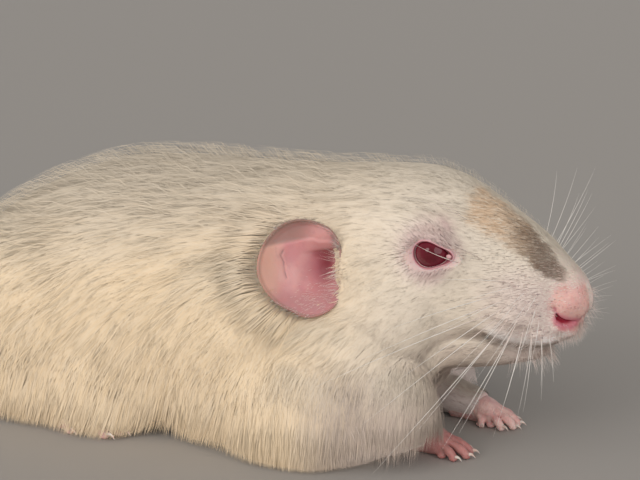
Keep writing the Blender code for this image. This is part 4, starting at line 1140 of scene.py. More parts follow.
for name, side in SIDES:
    wrist = np.array([-1.4 + HAND_AHEAD[name], 10.0, 0.0])
    # painted shade: its darker red stands for the shade of the chest
    shaded = float(side < 0)  # the right hand lies in the shade of the chest and is ruddier
    for label, node_name, painted_shade, *form in (
        ("hand", "forepaw", shaded, HAND, (*FINGERS, THUMB), KNUCKLE_FORE, CLAW_FORE, wrist, HAND_TURN, 0.17),
        ("foot", "hind_foot", 0.0, FOOT, TOES, KNUCKLE_HIND, CLAW_HIND, FOOT_PLACE, FOOT_TURN, 0.26),
    ):
        flesh, horn = extremity(label, name, side, *form)
        set_attribute(flesh, "painted_shade", np.full(len(flesh.data.vertices), painted_shade))
        finish_piece(flesh, bare.material, "skin", f"{node_name}_{name}")
        finish_piece(horn, claw_horn.material, "skin")

# %% [markdown]
# The tail is a long thin cone, covered in rings of small scales. The rings are real relief, a shallow saw along the
# tail, and the cuts that part a ring into scales are in the bump. Their pattern runs along and round, so it keeps
# its place through every bend.

# %% Tail
RINGS_PER_MM, SCALES_ROUND = 1.15, 22
TAIL_START = -112.5  # x where the tail leaves the coat


def tail():
    """The tail from the rump's edge on; each of its rings rises steeply and falls slowly along it."""
    path, s = tail_path(480)
    steps, around = np.arange(len(path)), 36
    fine = np.linspace(np.argmax(path[:, 0] < TAIL_START), steps[-1], 1500)
    path = np.column_stack([np.interp(fine, steps, path[:, k]) for k in range(3)])
    s = np.interp(fine, steps, s)
    along = s * TAIL_LENGTH
    saw = (along * RINGS_PER_MM) % 1.0
    relief = 0.10 * (1 - saw) ** 0.7 * saw**0.25 * 1.6
    radius = (tail_radius(s) - 0.05) * (1 - 0.2 * soft(s, 0.975, 1.0)) - 0.05 + relief
    rings, ahead = circles(path, radius, around)
    rings[..., 2] = np.maximum(rings[..., 2], 0.03)
    made = loft("tail", rings, path[0] - ahead[0], path[-1] + ahead[-1] * radius[-1] * 0.7)
    set_attribute(made, "along", np.concatenate([np.repeat(along, around), [along[0], along[-1]]]))
    set_attribute(made, "turn", np.concatenate([np.tile(turns(around), len(along)) / (2 * math.pi), [0, 0]]))
    return made


scales = Finish("tail_scales", Roughness=0.6, **glow(0.2, 0.0014, 0.0005, 0.0004))
along = scales.attribute("along") * RINGS_PER_MM
ring, row = along.math("FRACT", along), along.math("FLOOR", along)
turn = scales.attribute("turn") * SCALES_ROUND + row * 0.5
plate = turn.math("PINGPONG", turn, 0.5) * 2
gap = plate.between(0.0, 0.28)
mottle = scales.noise(300, 3, 0.6)
tone = scales.layers(
    (0.66, 0.44, 0.38),
    (mottle.between(0.35, 0.68), (0.80, 0.60, 0.53)),
    (ring.between(0.78, 0.98) * 0.5, (0.44, 0.26, 0.22)),
    ((1 - gap) * 0.35, (0.46, 0.28, 0.24)),
)
scales.set(Base_Color=tone, Normal=scales.bump(gap * 0.6 + scales.noise(3000, 2, 0.5) * 0.4, 0.00010, 0.8))
finish_piece(tail(), scales.material, "tail", "tail_1", "tail_2", "tail_3", "tail_4")

# %% [markdown]
# Skin and coat carry the same markings, so each marking is worked out once, as a number from 0 to 1 at any place on
# the rat, and stored on the points of both. The nose is bare and pink. A patch of tan hair, greyer towards the
# nose, lies on each side of a white blaze down the snout, with a ragged edge. The body is warmer than the face.

# %% Markings


HASH_AXES, HASH_SEED, HASH_MIX = (73856093, 19349663, 83492791), 374761393, 1274126177  # large and odd


def drift(points, size, seed):
    """Smooth clouds from -1 to 1: random numbers on the corners of a lattice of this size, blended between them
    with 3t^2 - 2t^3 along each axis."""
    cell = np.asarray(points) / size + seed * 7.31
    base = np.floor(cell).astype(np.int64)
    t = cell - base
    t = t * t * (3 - 2 * t)
    total = 0.0
    for cell_corner in np.ndindex(2, 2, 2):
        key = ((base + cell_corner) * HASH_AXES).sum(1) + seed * HASH_SEED
        key = (key ^ (key >> 13)) * HASH_MIX
        value = ((key ^ (key >> 16)) & 0xFFFF) / 32767.5 - 1
        total = total + value * np.prod(np.where(cell_corner, t, 1 - t), axis=1)
    return total


BARE_NOSE = ((22.6, 24.0), (24.9, 22.4), (26.8, 20.7), (29.4, 20.2), (34.0, 20.8))  # z, x
PAD_ROWS = (  # the whiskers' follicles: rear one (x, out, z), front one, and how many
    ((13.0, 7.6, 32.9), (17.8, 6.1, 31.0), 4), ((12.4, 8.4, 30.9), (18.0, 6.7, 29.3), 5),
    ((12.0, 9.1, 29.5), (18.6, 6.6, 27.3), 6), ((10.9, 9.5, 27.5), (20.0, 5.9, 24.4), 8),
    ((13.0, 8.8, 25.5), (18.8, 6.0, 23.4), 5),
)
PATCH = (  # x, its lower and upper edge, as degrees round the snout from level
    (4.6, 80, 84), (5.3, 69, 87), (7.0, 62, 88), (9.0, 61, 88), (11.0, 60, 88), (14.0, 57, 87), (16.3, 53, 84),
    (18.0, 49, 80), (20.0, 46, 74), (21.5, 46, 71), (22.8, 52, 69),
)


# the spots above the eye are partly painted shade of the brow and upper lid
LILAC_AND_SHADE_SPOTS = (  # place from the eye's middle (ahead, out, up), size and strength
    ((4.6, -1.0, 0.4), 1.8, 0.75), ((2.6, -1.4, 3.6), 2.2, 0.8), ((-0.6, -0.8, 4.2), 1.8, 0.5),
)


def nose_mask(points):
    """1 on the bare nose, 0 in the hair, across 2 mm."""
    x, _, z = points.T
    ahead = soft(x - through(BARE_NOSE, z)[:, 0] + 0.45 * drift(points, 1.1, 3), -1.4, 0.9)
    return ahead * soft(z, 22.6, 24.6) * soft(z + 0.5 * drift(points, 0.9, 14), 34.2, 31.4)


def patch_mask(points):
    """1 in the coloured patches of the snout, with an edge that breaks up into streaks along the hair."""
    x, y, z = points.T
    low_edge, high_edge = through(PATCH, x).T
    turn = np.degrees(np.arctan2(z - 29.0, np.abs(y)))
    blaze = np.where(y > 0, 12.0, 0.0)  # the blaze lies a little to the left
    ragged = 4.0 * drift(points * (0.35, 1, 1), 1.0, 5) + 3.5 * drift(points * (0.4, 1, 1), 0.35, 6)
    inside = soft(turn + ragged - low_edge, -5.0, 6.0) * soft(high_edge - blaze - turn + 0.7 * ragged, -3.0, 4.0)
    ahead = soft(x + 0.16 * ragged, 4.6, 7.2) * soft(x, 22.9, 21.4)
    return inside * ahead * (0.90 + 0.10 * drift(points, 2.0, 8))


def forearm_share(points):
    """1 on the forearms where they lie on the floor."""
    return soft(points[:, 0], -14, -6) * soft(points[:, 2], 11.5, 9.0)


def far_arm(points):
    """The left forearm, which is pink through thin pale hair."""
    return soft(points[:, 0], -14, -6) * soft(points[:, 2], 15, 12) * soft(points[:, 1], 2, 5)


def warm_mask(points):
    """0 on the face, 1 on the body; warmest low on the flank."""
    x, _, z = points.T
    return np.clip(soft(x, 1, -22) * (0.50 + 0.55 * soft(z, 46, 30)) + 0.08 * drift(points, 14.0, 9), 0, 1)


def grey_mask(points):
    """How grey the patch is: 0 tan behind, 1 grey in front."""
    return soft(points[:, 0] + 1.5 * drift(points, 3.0, 4), 8.5, 19.5)


def pink_mask(points):
    """Where the hair is so short and thin that pink skin tints it: the muzzle, the forearms, round the eyes."""
    x, _, z = points.T
    muzzle = soft(x, 6, 17) * soft(z, 38, 31) * (0.80 + 0.20 * drift(points, 4.0, 12))
    near = [hump(np.linalg.norm(points - centre, axis=1), 1.6, 3.9) for centre in eye_centres.values()]
    arms = np.maximum(forearm_share(points), far_arm(points))
    return np.clip(np.maximum(np.maximum(muzzle, arms), 0.8 * np.maximum(*near)), 0, 1)


def lilac_and_shade_mask(points):
    """Lilac round the eyes: a thin ring, wider before the corner and up to the brow, there partly painted shade."""
    best = np.zeros(len(points))
    for centre in eye_centres.values():
        away = (points - centre) * (1, np.sign(centre[1]), 1)
        best = np.maximum(best, 0.55 * hump(np.linalg.norm(away, axis=1), 1.1, 3.9))
        for place, size, strong in LILAC_AND_SHADE_SPOTS:
            best = np.maximum(best, strong * hump(np.linalg.norm(away - place, axis=1), size))
    return best


def painted_shade_below(points, normals):
    """Painted shade under the jaw, on the throat and on the chest, where the head and cheek shade the coat."""
    x, _, z = points.T
    above, _ = mouth_gap(points)
    jaw = 0.8 * soft(above, -1.0, -3.2) * soft(x, 0.0, 5.0)
    chest = soft(x, -20, -8) * soft(z, 22, 14)
    throat = soft(normals[:, 2], 0.0, -0.7) * soft(x, -16, -6)
    below = np.maximum(np.maximum(jaw, chest), throat)
    return below * (1 - forearm_share(points)) * (1 - far_arm(points))


def lip_white_and_highlight(points):
    """The upper lip's roll, where the hair is whitest: partly its own white, partly a painted highlight."""
    above, strength = mouth_gap(points)
    return strength * hump(above, 1.3, 1.7) * soft(points[:, 0], 10, 13)


def markings(points):
    """The markings that skin and coat share, by the names that their materials read."""
    return {
        "patch": patch_mask(points), "grey": grey_mask(points), "warm": warm_mask(points),
        "pink": pink_mask(points), "lilac": lilac_and_shade_mask(points),
    }


# %% [markdown]
# Hair leaves a rat's nose backwards and flows over the body like water over a stone: level along the back, ever
# steeper down the flank, round the eyes and ears, and straight down at the chest. One function gives that direction
# everywhere, and others give its length, its depth and how densely it grows. The lie is turned a little by clouds of
# two sizes, which gathers neighbours into wisps.

# %% The lie of the coat
SLOPE = ((0, 78), (8, 72), (16, 60), (26, 46), (36, 24), (44, 8), (52, 2))  # height, and degrees below level
HEAD_SLOPE = ((12, 20), (20, 16), (30, 8), (40, 2), (52, 0))
# x, and a tuft's length and width in mm and how many tufts there are on a square mm
LENGTH = (
    (-118, 7.0), (-108, 10.5), (-60, 11.0), (-34, 9.5), (-18, 7.2), (-8, 5.0), (0, 3.6), (8, 2.6), (15, 1.7),
    (20, 1.1), (24, 0.7),
)
WIDTH = ((-118, 0.27), (-60, 0.26), (-30, 0.22), (-16, 0.19), (-5, 0.16), (5, 0.13), (15, 0.10), (24, 0.07))
DENSITY = ((-118, 8.2), (-60, 8.2), (-34, 10.2), (-16, 14.5), (-5, 18.5), (5, 24), (15, 31), (24, 34))


def chest_share(points):
    """1 on the chest and the front of the shoulders, where the hair hangs straight down."""
    x, _, z = points.T
    return soft(x, -34, -20) * soft(z, 22, 13) * soft(x, 9, 4)


def lie(points):
    """The way the hair lies before it is laid onto the skin: back, and down by SLOPE behind the head; on the head
    back and a little down, and apart round the eye."""
    x, y, z = points.T
    side = np.sign(y) * np.clip(np.abs(y) / 3.0, 0, 1)
    slope = np.radians(through(SLOPE, z)[:, 0])
    body = np.stack([-np.cos(slope), 0.16 * side, -np.sin(slope)], 1)
    head_slope = np.radians(through(HEAD_SLOPE, z)[:, 0])
    head = np.stack([-np.cos(head_slope), 0.30 * side, -np.sin(head_slope)], 1)
    on_head = soft(x + 0.35 * z, 3, 16)[:, None]
    way = body * (1 - on_head) + head * on_head
    chest = chest_share(points)[:, None]
    hanging = np.stack([0.16 + 0 * x, 0.6 * side, -1.0 + 0 * x], 1)
    way = way * (1 - chest) + chest * hanging
    arm = forearm_share(points)[:, None]
    way = way * (1 - arm) + arm * np.array((0.85, 0.0, -0.35))
    rump = soft(x, -98, -116)[:, None]
    way = way * (1 - rump) + rump * np.array((-0.55, 0.0, -0.75))
    for centre in eye_centres.values():
        away = points - centre
        reach = np.linalg.norm(away, axis=1)
        near = hump(reach, 6.0) * (away[:, 1] * np.sign(centre[1]) > -2)
        around = np.stack([np.zeros(len(x)), 0 * x, away[:, 2]], 1) / np.maximum(np.abs(away[:, 2:3]), 2.0)
        way = way + 0.75 * near[:, None] * around
        rim = hump(reach, 1.6, 3.8)[:, None] / np.maximum(reach, 1.0)[:, None]
        way = way + 1.1 * rim * np.stack([np.minimum(away[:, 0], 0.8), 0 * x, away[:, 2]], 1)
    above, strength = mouth_gap(points)
    lip = (0.9 * strength * hump(above, 1.5))[:, None]
    angle = np.arctan2(y, x - MOUTH_AXIS)
    along = np.stack([-np.sin(np.abs(angle)), np.sign(y) * np.cos(angle), 0.12 * np.sign(above)], 1)
    return unit(way * (1 - lip) + lip * along)


def follicle_places(side):
    """The roots of one side's whiskers, row by row, on the skin."""
    aims = [np.array(rear) + (np.array(front) - rear) * share
            for rear, front, many in PAD_ROWS for share in np.linspace(0, 1, many)]
    return np.array([under.find_nearest(Vector(aim * (1, side, 1)))[0] for aim in aims])


def follicle_mask(points, size=0.30):
    """exp(-d squared) round every follicle."""
    best = np.full(len(points), 99.0)
    near = points[:, 0] > 8.0
    for place in every_follicle:
        best[near] = np.minimum(best[near], np.linalg.norm(points[near] - place, axis=1))
    return hump(best, size)


def turned(way, normals, degrees):
    """Lays directions onto the surface and turns them about its normals."""
    way = way - (way * normals).sum(1)[:, None] * normals
    way /= np.maximum(np.linalg.norm(way, axis=1), 1e-6)[:, None]
    angle = np.radians(degrees)[:, None]
    return way * np.cos(angle) + np.cross(normals, way) * np.sin(angle)


def bare_share(points, normals):
    """1 where no coat grows: nose, eyes, the line of the mouth, hands, the tail, and the part that is lain on."""
    x, y, z = points.T
    bare = 0.97 * nose_mask(points)
    for centre in eye_centres.values():
        away = points - centre
        front = 0.14 * corner(np.arctan2(away[:, 2], away[:, 0]))
        bare = np.maximum(bare, soft(almond_share(away, np.sign(centre[1])) - front, 1.13, 1.07))
    above, strength = mouth_gap(points)
    bare = np.maximum(bare, strength * soft(np.abs(above), 0.24, 0.14))
    bare = np.maximum(bare, 0.75 * follicle_mask(points))
    for name, side in SIDES:
        away, _ = to_path(points, NOSTRIL * (1, side, 1), NOSTRIL_RADII)
        bare = np.maximum(bare, np.exp(-((away / 2.6) ** 4)))
        in_ear = (ear_opening(points, side) < 1.0) & (ear_place(points * (1, side, 1))[0] < 0.05)
        bare = np.maximum(bare, in_ear)
        wrist = HAND_AHEAD[name] - 1.2
        bare = np.maximum(bare, (y * side > 0) * soft(x, wrist - 1.5, wrist + 0.5) * soft(z, 12, 10))
    bare = np.maximum(bare, soft(x, -113.5, -116.0))
    return np.maximum(bare, (normals[:, 2] < -0.8) * (z < 2.0) * 0.9)


thinned = add_object("thinned", skin.data.copy())
under = tree_of(decimated(thinned, 0.25))
bpy.data.objects.remove(thinned)
follicles = {name: follicle_places(side) for name, side in SIDES}
every_follicle = np.concatenate(list(follicles.values()))
points = points_of(skin)
above, strength = mouth_gap(points)
skin_looks = markings(points) | {
    "bare": nose_mask(points), "pit": skin_nostril_shade, "flush": skin_deep_pink_and_shade, "follicle": follicle_mask(points),
    "lips": strength * hump(above, 0.5),
    "stripe": soft(np.abs(points[:, 1]), 1.6, 0.6) * soft(points[:, 2], 26.0, 28.5),
}
for label, value in skin_looks.items():
    set_attribute(skin, label, value)
print("surface to lay the coat on is ready, with", len(every_follicle), "whisker follicles")

# %% [markdown]
# Roots are strewn over the skin's triangles by area times density. Each tuft is a spindle of six triangles: a root
# point under the skin, a triangle across its middle and a tip. Its middle and its tip are laid over the nearest skin
# at their own heights, so that tufts follow the curves of the body and overlap like slates.

# %% Grow the coat
draw = np.random.default_rng(11)
COAT_SHARE = 1.0


def strewn(obj, density):
    """Random places on an object's surface with their normals; density gives how many there are per square mm."""
    obj.data.calc_loop_triangles()
    corners = np.empty(len(obj.data.loop_triangles) * 3, np.int32)
    obj.data.loop_triangles.foreach_get("vertices", corners)
    points, normals = points_of(obj), normals_of(obj)
    tri = corners.reshape(-1, 3)
    a, b, c = (points[tri[:, k]] for k in range(3))
    middle = (a + b + c) / 3
    area = np.linalg.norm(np.cross(b - a, c - a), axis=1) / 2
    total = np.cumsum(area * density(middle))
    count = int(total[-1])
    pick = np.searchsorted(total, (np.arange(count) + draw.random(count)) * total[-1] / count)
    pick = np.minimum(pick, len(tri) - 1)
    u, v = draw.random((2, count))
    flip = u + v > 1
    u, v = np.where(flip, 1 - u, u), np.where(flip, 1 - v, v)
    weights = np.stack([1 - u - v, u, v], 1)[..., None]
    place = (points[tri[pick]] * weights).sum(1)
    normal = (normals[tri[pick]] * weights).sum(1)
    return place, unit(normal)


def in_the_way(roots, tips, spared):
    """Tufts that would lie over an eye, across the mouth or, unless they are spared, into an ear."""
    before, strength = mouth_gap(roots)
    after, _ = mouth_gap(tips)
    blocked = (strength > 0.3) & (before * after < 0) & (np.abs(before) < 3.0)
    for name, side in SIDES:
        for place in (tips, roots * 0.3 + tips * 0.7, roots * 0.6 + tips * 0.4):
            blocked |= almond_share(place - eye_centres[name], side) < 1.10
        over = ear_opening(tips, side)
        blocked |= (over < 0.98) & (ear_opening(roots, side) > 1.0) & (~spared | (over < 0.88))
    return blocked


def laid(targets, heights):
    """The nearest place on the skin to each target, raised by its height."""
    found = np.empty_like(targets)
    ways = np.empty_like(targets)
    for k, target in enumerate(targets.tolist()):
        place, way, _, _ = under.find_nearest(target)
        found[k], ways[k] = place, way
    return found + ways * heights[:, None], ways


roots, root_normals = strewn(skin, lambda p: through(DENSITY, p[:, 0])[:, 0] * COAT_SHARE)
keep = draw.random(len(roots)) > bare_share(roots, root_normals)
roots, root_normals = roots[keep], root_normals[keep]
count = len(roots)
arm = forearm_share(roots)
length = through(LENGTH, roots[:, 0])[:, 0] * (0.72 + 0.42 * draw.random(count)) * (1 + 0.14 * drift(roots, 6.0, 21))
curtain = chest_share(roots) * soft(roots[:, 0], -30, -16)
length = length * (1 - curtain) + curtain * 8.0 * (0.75 + 0.4 * draw.random(count))
length = length * (1 - arm) + arm * 2.2
for _, side in SIDES:
    length = np.where(ear_opening(roots, side) < 1.0, np.minimum(length, 1.6), length)
depth = coat_depth(roots) + 0.10
for _, side in SIDES:  # fuller behind the ears, so that no dark gap shows under their rims
    behind = soft(ear_place(roots * (1, side, 1))[0], -0.15, 0.30)
    depth = depth + 0.8 * behind * hump(ear_opening(roots, side), 0.14, 1.10)
for centre in eye_centres.values():
    beside_eye = hump(np.linalg.norm(roots - centre, axis=1), 2.4, 3.6)
    length, depth = length * (1 - 0.62 * beside_eye), depth * (1 - 0.45 * beside_eye)
on_head = soft(roots[:, 0], -22, -6)
upper = soft(root_normals[:, 2], 0.35, 0.85)
stray = draw.random(count) < 0.03 + 0.04 * upper
lift = np.where(stray, 1.4 + (0.8 + 1.3 * upper) * draw.random(count), 0.90 + 0.10 * draw.random(count))
swirl = 10 * drift(roots, 9.0, 31) + 7 * drift(roots, 2.4, 32) + (3 + 7 * stray) * draw.standard_normal(count)
ways = turned(lie(roots), root_normals, swirl * (1 - 0.5 * on_head))
spared = draw.random(count) < 0.04
for _ in range(4):
    blocked = in_the_way(roots, roots + ways * length[:, None], spared)
    length = np.where(blocked, length * 0.5, length)
keep = ~in_the_way(roots, roots + ways * length[:, None], spared)
roots, root_normals, ways, length, depth, lift, stray = (
    each[keep] for each in (roots, root_normals, ways, length, depth, lift, stray))
count = len(roots)
middles, middle_normals = laid(roots + ways * (0.42 * length)[:, None], 0.90 * depth * lift)
tips, _ = laid(roots + ways * length[:, None], depth * lift * (0.90 + 0.10 * draw.random(count)))
# Low on the sides the tufts hang free of the skin.
hang = soft(roots[:, 2], 21, 11) * soft(np.abs(root_normals[:, 2]), 0.75, 0.35) * soft(roots[:, 0], 5, 1)
hang = (hang * (1 - forearm_share(roots)))[:, None]
down = ways * 0.60 + root_normals * 0.06 + np.array((-0.05, 0, -0.60))
for place, share in ((middles, 0.42), (tips, 1.0)):
    free = roots + down * (share * length)[:, None] + root_normals * (depth * lift)[:, None]
    place += hang * (free - place)
middle_normals += hang * (root_normals - middle_normals)
clear = np.ones(count, bool)
for name, side in SIDES:
    for place in (tips, middles, (tips + middles) / 2):
        clear &= almond_share(place - eye_centres[name], side) > 1.04
        clear &= to_path(place, NOSTRIL * (1, side, 1), NOSTRIL_RADII)[0] > 2.3
tips[:, 2] = np.maximum(tips[:, 2], 0.15)
middles[:, 2] = np.maximum(middles[:, 2], 0.2)
half = through(WIDTH, roots[:, 0])[:, 0] / 2 * (0.75 + 0.5 * draw.random(count)) * np.where(stray, 0.6, 1.0)
half *= (1 - 0.3 * hang[:, 0]) * clear
print("tufts:", count)


SPINDLE = np.array([(0, 2, 1), (0, 3, 2), (0, 1, 3), (4, 1, 2), (4, 2, 3), (4, 3, 1)])  # its six triangles
THICKNESS = 0.30  # of a tuft, as a share of its width
ROUND = 0.08  # how far a tuft's own roundness turns its shading
SHADE_ALONG = np.array((0.0, 0.45, 0.45, 0.45, 1.0))  # how far along a tuft its five points are
PATCH_SIZE = 0.003
BODY_AXIS = ((-118, 15), (-60, 22), (0, 27), (26, 29))  # x, and the height that the coat is unrolled about


def spindles(roots, root_normals, middles, up, tips, half):
    """Points, triangles and shading normals of tufts: root, three points round the middle, tip. up is the skin's
    normal at the middle. The normals are mostly the skin's, so that the coat catches light as one soft surface."""
    ahead = unit(tips - roots)
    up = up - (up * ahead).sum(1)[:, None] * ahead
    up /= np.maximum(np.linalg.norm(up, axis=1), 1e-6)[:, None]
    side = np.cross(up, ahead)
    h = half[:, None]
    lower = up * h * THICKNESS * 0.5
    points = np.stack([
        roots - root_normals * 0.12, middles + up * h * THICKNESS * 1.2, middles - side * h - lower,
        middles + side * h - lower, tips,
    ], 1)
    triangles = (np.arange(len(roots))[:, None, None] * 5 + SPINDLE).reshape(-1, 3)
    shade = unit(np.stack([root_normals, up + 0.1 * side, up - ROUND * side, up + ROUND * side, up], 1))
    return points.reshape(-1, 3), triangles, shade.reshape(-1, 3)


def shade_by(obj, normals):
    """Gives a mesh these normals at its points."""
    made = obj.data.attributes.new("custom_normal", "FLOAT_VECTOR", "POINT")
    made.data.foreach_set("vector", np.asarray(normals, np.float32).ravel())
    obj.data.update()


def tuft_map(obj, roots, low_x, high_x):
    """The map for the coat's colours: the root's place along and round the body, and a patch 0.003 wide for the
    tuft itself, so that the surface that is unrolled is the skin's own."""
    u = (roots[:, 0] - low_x) / (high_x - low_x) * 0.994
    turn = np.arctan2(roots[:, 1], roots[:, 2] - through(BODY_AXIS, roots[:, 0])[:, 0])
    v = (turn / (2 * math.pi) + 0.5) * 0.994
    own = np.array([(0, 0.5), (0.45, 0.5), (0.45, 0.0), (0.45, 1.0), (1.0, 0.5)]) * PATCH_SIZE
    uv = np.stack([u, v], 1)[:, None, :] + own[SPINDLE.ravel()][None]
    obj.data.uv_layers.new(name="OFBake").data.foreach_set("uv", uv.astype(np.float32).ravel())


def coat_piece(name, chosen, finish, slot):
    """One piece of coat from the tufts that are chosen."""
    r, n = roots[chosen], root_normals[chosen]
    points, triangles, shade = spindles(r, n, middles[chosen], middle_normals[chosen], tips[chosen], half[chosen])
    made = build(name, points, triangles)
    shade_by(made, shade)
    tuft_map(made, r, r[:, 0].min(), r[:, 0].max())
    arms = np.maximum(forearm_share(r), far_arm(r))
    looks = markings(r) | {
        # pale: partly the hair's own white, partly painted light on the lip roll and the forearms
        "tint": tints[chosen], "pale": np.maximum(lip_white_and_highlight(r), 0.25 * arms), "follicle": follicle_mask(r, 0.45),
        # painted shade in both: darker under the head and chest, and where the coat faces up
        "below": painted_shade_below(r, n), "top": soft(n[:, 2], 0.35, 0.95),
    }
    for label, value in looks.items():
        set_attribute(made, label, np.repeat(value, 5))
    set_attribute(made, "along", np.tile(SHADE_ALONG, len(r)))
    finish_piece(made, finish, slot)


tints = draw.random(count)
coat = Finish("coat_hair", Roughness=0.6, Specular_IOR_Level=0.22, Sheen_Weight=0.06, Sheen_Roughness=0.5)


def hair_colour(finish):
    """Cream or ivory hair, tan or grey in the patches, paler towards the tips, each tuft a little its own."""
    tint, along, grey = (finish.attribute(name) for name in ("tint", "along", "grey"))
    ground = finish.mix(finish.attribute("warm"), (0.88, 0.765, 0.632), (0.93, 0.72, 0.475))
    marks = finish.layers(
        (0.76, 0.54, 0.36),
        (grey, (0.125, 0.072, 0.050)),
        (tint * (0.26 - grey * 0.10), (0.74, 0.58, 0.44)),
    )
    tone = finish.layers(
        # darker and warmer towards the roots: partly the hair's own colour, partly painted shade deep in the coat
        finish.mix(along.between(0.0, 0.50), finish.mix(0.18, ground, (0.84, 0.58, 0.38)), ground),
        (finish.attribute("pink") * 0.70, (0.925, 0.735, 0.715)),
        # partly painted light: whiter on the lip roll, as if it caught the light, and on the forearms, lifting their
        # shade
        (finish.attribute("pale") * 0.85, (0.96, 0.92, 0.91)),
        # painted shade under the head, on the throat and on the chest
        (finish.attribute("below") * (0.45 + tint * 0.7), (0.45, 0.335, 0.275)),
        # painted shade on the upper surfaces, where the side light falls less
        (finish.attribute("top") * 0.65, (0.69, 0.60, 0.475)),
        # lilac round the eyes, partly painted shade above them
        (finish.attribute("lilac"), (0.57, 0.345, 0.345)),
        (tint * 0.22, (0.96, 0.91, 0.82)),
    )
    marked = finish.attribute("patch") * (1.0 - tint.between(0.80, 0.86) * (0.85 - grey * 0.65))
    tone = finish.mix(marked, tone, marks)
    return finish.mix(finish.attribute("follicle") * 0.35, tone, (0.40, 0.29, 0.28))


coat.set(Base_Color=hair_colour(coat))

order = np.argsort(roots[:, 0])
COAT_PIECES = ("rump", "loin", "back", "flank", "shoulder", "neck", "cheek", "snout")
for name, chosen in zip(COAT_PIECES, np.array_split(order, len(COAT_PIECES))):
    coat_piece(f"coat_{name}", chosen, coat.material, "face" if name in ("cheek", "snout") else "coat")

# %% [markdown]
# The skin itself shows on the nose and lips and between the hairs. It is pink, with pores on the nose, and takes a
# tint of the coat so that no gap between tufts shows as a hole. The part under the thick coat keeps few triangles.

# %% Finish the skin
flesh = Finish("rat_skin", Roughness=0.5, **glow(0.3, 0.0018, 0.0006, 0.0004))
pores = flesh.node("TexVoronoi", {}, flesh.where(), Scale=1500.0).out("Distance")
mottle, grain = flesh.noise(350, 3, 0.6), flesh.noise(3000, 3, 0.6)
ground = flesh.layers(
    (0.86, 0.72, 0.64),
    (flesh.attribute("warm"), (0.84, 0.69, 0.53)),
    (flesh.attribute("pink"), (0.84, 0.58, 0.54)),
    (flesh.attribute("patch") * 0.8, (0.42, 0.31, 0.24)),
)
pink = flesh.layers(
    (0.69, 0.385, 0.35),
    (mottle.between(0.35, 0.66), (0.81, 0.51, 0.455)),
    ((1 - pores.between(0.05, 0.28)) * 0.20, (0.60, 0.30, 0.28)),
    (flesh.attribute("stripe") * 0.85, (0.93, 0.80, 0.72)),
)
tone = flesh.layers(
    flesh.mix(flesh.attribute("bare"), ground, pink),
    # lilac round the eyes, partly painted shade above them
    (flesh.attribute("lilac"), (0.62, 0.40, 0.41)),
    (flesh.attribute("lips") * 0.7, (0.62, 0.46, 0.43)),
    (flesh.attribute("follicle") * 0.6, (0.30, 0.21, 0.21)),
    # deep pink round the nostrils and in the nose's folds: partly the nose's own colour, partly painted shade in
    # these hollows
    (flesh.attribute("flush").between(0.10, 0.80) * 0.85, (0.52, 0.13, 0.18)),
    # painted shade: the shallow pit of the nostril is nearly black, as a deep opening is
    (flesh.attribute("pit").between(0.25, 0.75), (0.36, 0.020, 0.045)),
)
flesh.set(Base_Color=tone, Normal=flesh.bump(pores.between(0.0, 0.35) * 0.7 + grain * 0.3, 0.00020, 0.9))

point_group(skin, "hidden", soft(points_of(skin)[:, 0], 2, -12))
decimated(skin, 0.38, "hidden")
shade_smooth(skin)
finish_piece(skin, flesh.material, "skin", "head", "neck", "torso", "fore_leg_left", "fore_leg_right",
             "hind_leg_left", "hind_leg_right")

# %% [markdown]
# Whiskers stand in five rows on each pad, long and stiff behind, short in front, each from a small dark follicle.
# The rat holds the right ones back and down and the far ones forward and up. Brow hairs, chin hairs and a fringe of
# short fine ones round the nose are made in the same way, as thin tapered tubes on a bent line.

# %% Whiskers
draw = np.random.default_rng(23)
CARRIAGE = {  # for each row: yaw and pitch of the rear whisker, of the front one, and their lengths
    "right": (
        ((126, 11), (84, -14), (17, 8)), ((126, -8), (80, -26), (22, 9)), ((126, -12), (72, -38), (28, 10)),
        ((128, -14), (50, -58), (37, 9)), ((117, -36), (60, -60), (34, 8)),
    ),
    "left": (
        ((84, 50), (50, 42), (26, 9)), ((82, 44), (46, 34), (32, 11)), ((78, 36), (44, 26), (35, 12)),
        ((74, 24), (42, 12), (36, 10)), ((66, 8), (44, -6), (28, 8)),
    ),
}


STOUT, SLIGHT = 0.094, 0.070  # radius of a whisker over 20 mm long, and of a shorter one


def bristle(root, direction, bend, length, radius, rows=11):
    """A line p = root + (direction s + bend s^2) length, kept off the floor, and its radii: thin at its root,
    thickest at a sixth of its length and a tenth of that at its tip."""
    s = np.linspace(0, 1, rows)[:, None]
    path = root + (direction * s + bend * s**2) * length
    path[:, 2] = np.maximum(path[:, 2], 0.8 + 0.8 * s[:, 0])
    return path, radius * (1 - 0.9 * s[:, 0]) * np.minimum(1, 0.55 + 3 * s[:, 0])


def bristles(name, lines, sides=4, white=1.0):
    """All these lines as one mesh of thin tapered tubes, with how far along each point is; white is the most that
    the tips get of their white."""
    made = join(name, [tube("bristle", path, radii, sides) for path, radii in lines])
    along = np.concatenate([np.append(np.repeat(np.linspace(0, 1, len(path)), sides), [0, 1]) for path, _ in lines])
    set_attribute(made, "along", along * white)
    shade_smooth(made)
    return made


def pad(name, side):
    """Root, direction, bend and length of every whisker of one side."""
    shares = [share for _, _, many in PAD_ROWS for share in np.linspace(0, 1, many)]
    rows = [row for row, (_, _, many) in zip(CARRIAGE[name], PAD_ROWS) for _ in range(many)]
    for root, share, (rear, front, (longest, shortest)) in zip(follicles[name], shares, rows):
        yaw, pitch = np.radians(np.array(rear) * (1 - share) + np.array(front) * share + draw.uniform(-4, 4, 2))
        way = np.array([math.cos(yaw) * math.cos(pitch), math.sin(yaw) * math.cos(pitch) * side, math.sin(pitch)])
        length = (longest + (shortest - longest) * share**0.8) * draw.uniform(0.88, 1.10)
        yield root, way, np.array([-0.10, -0.04 * side, -0.10]), length


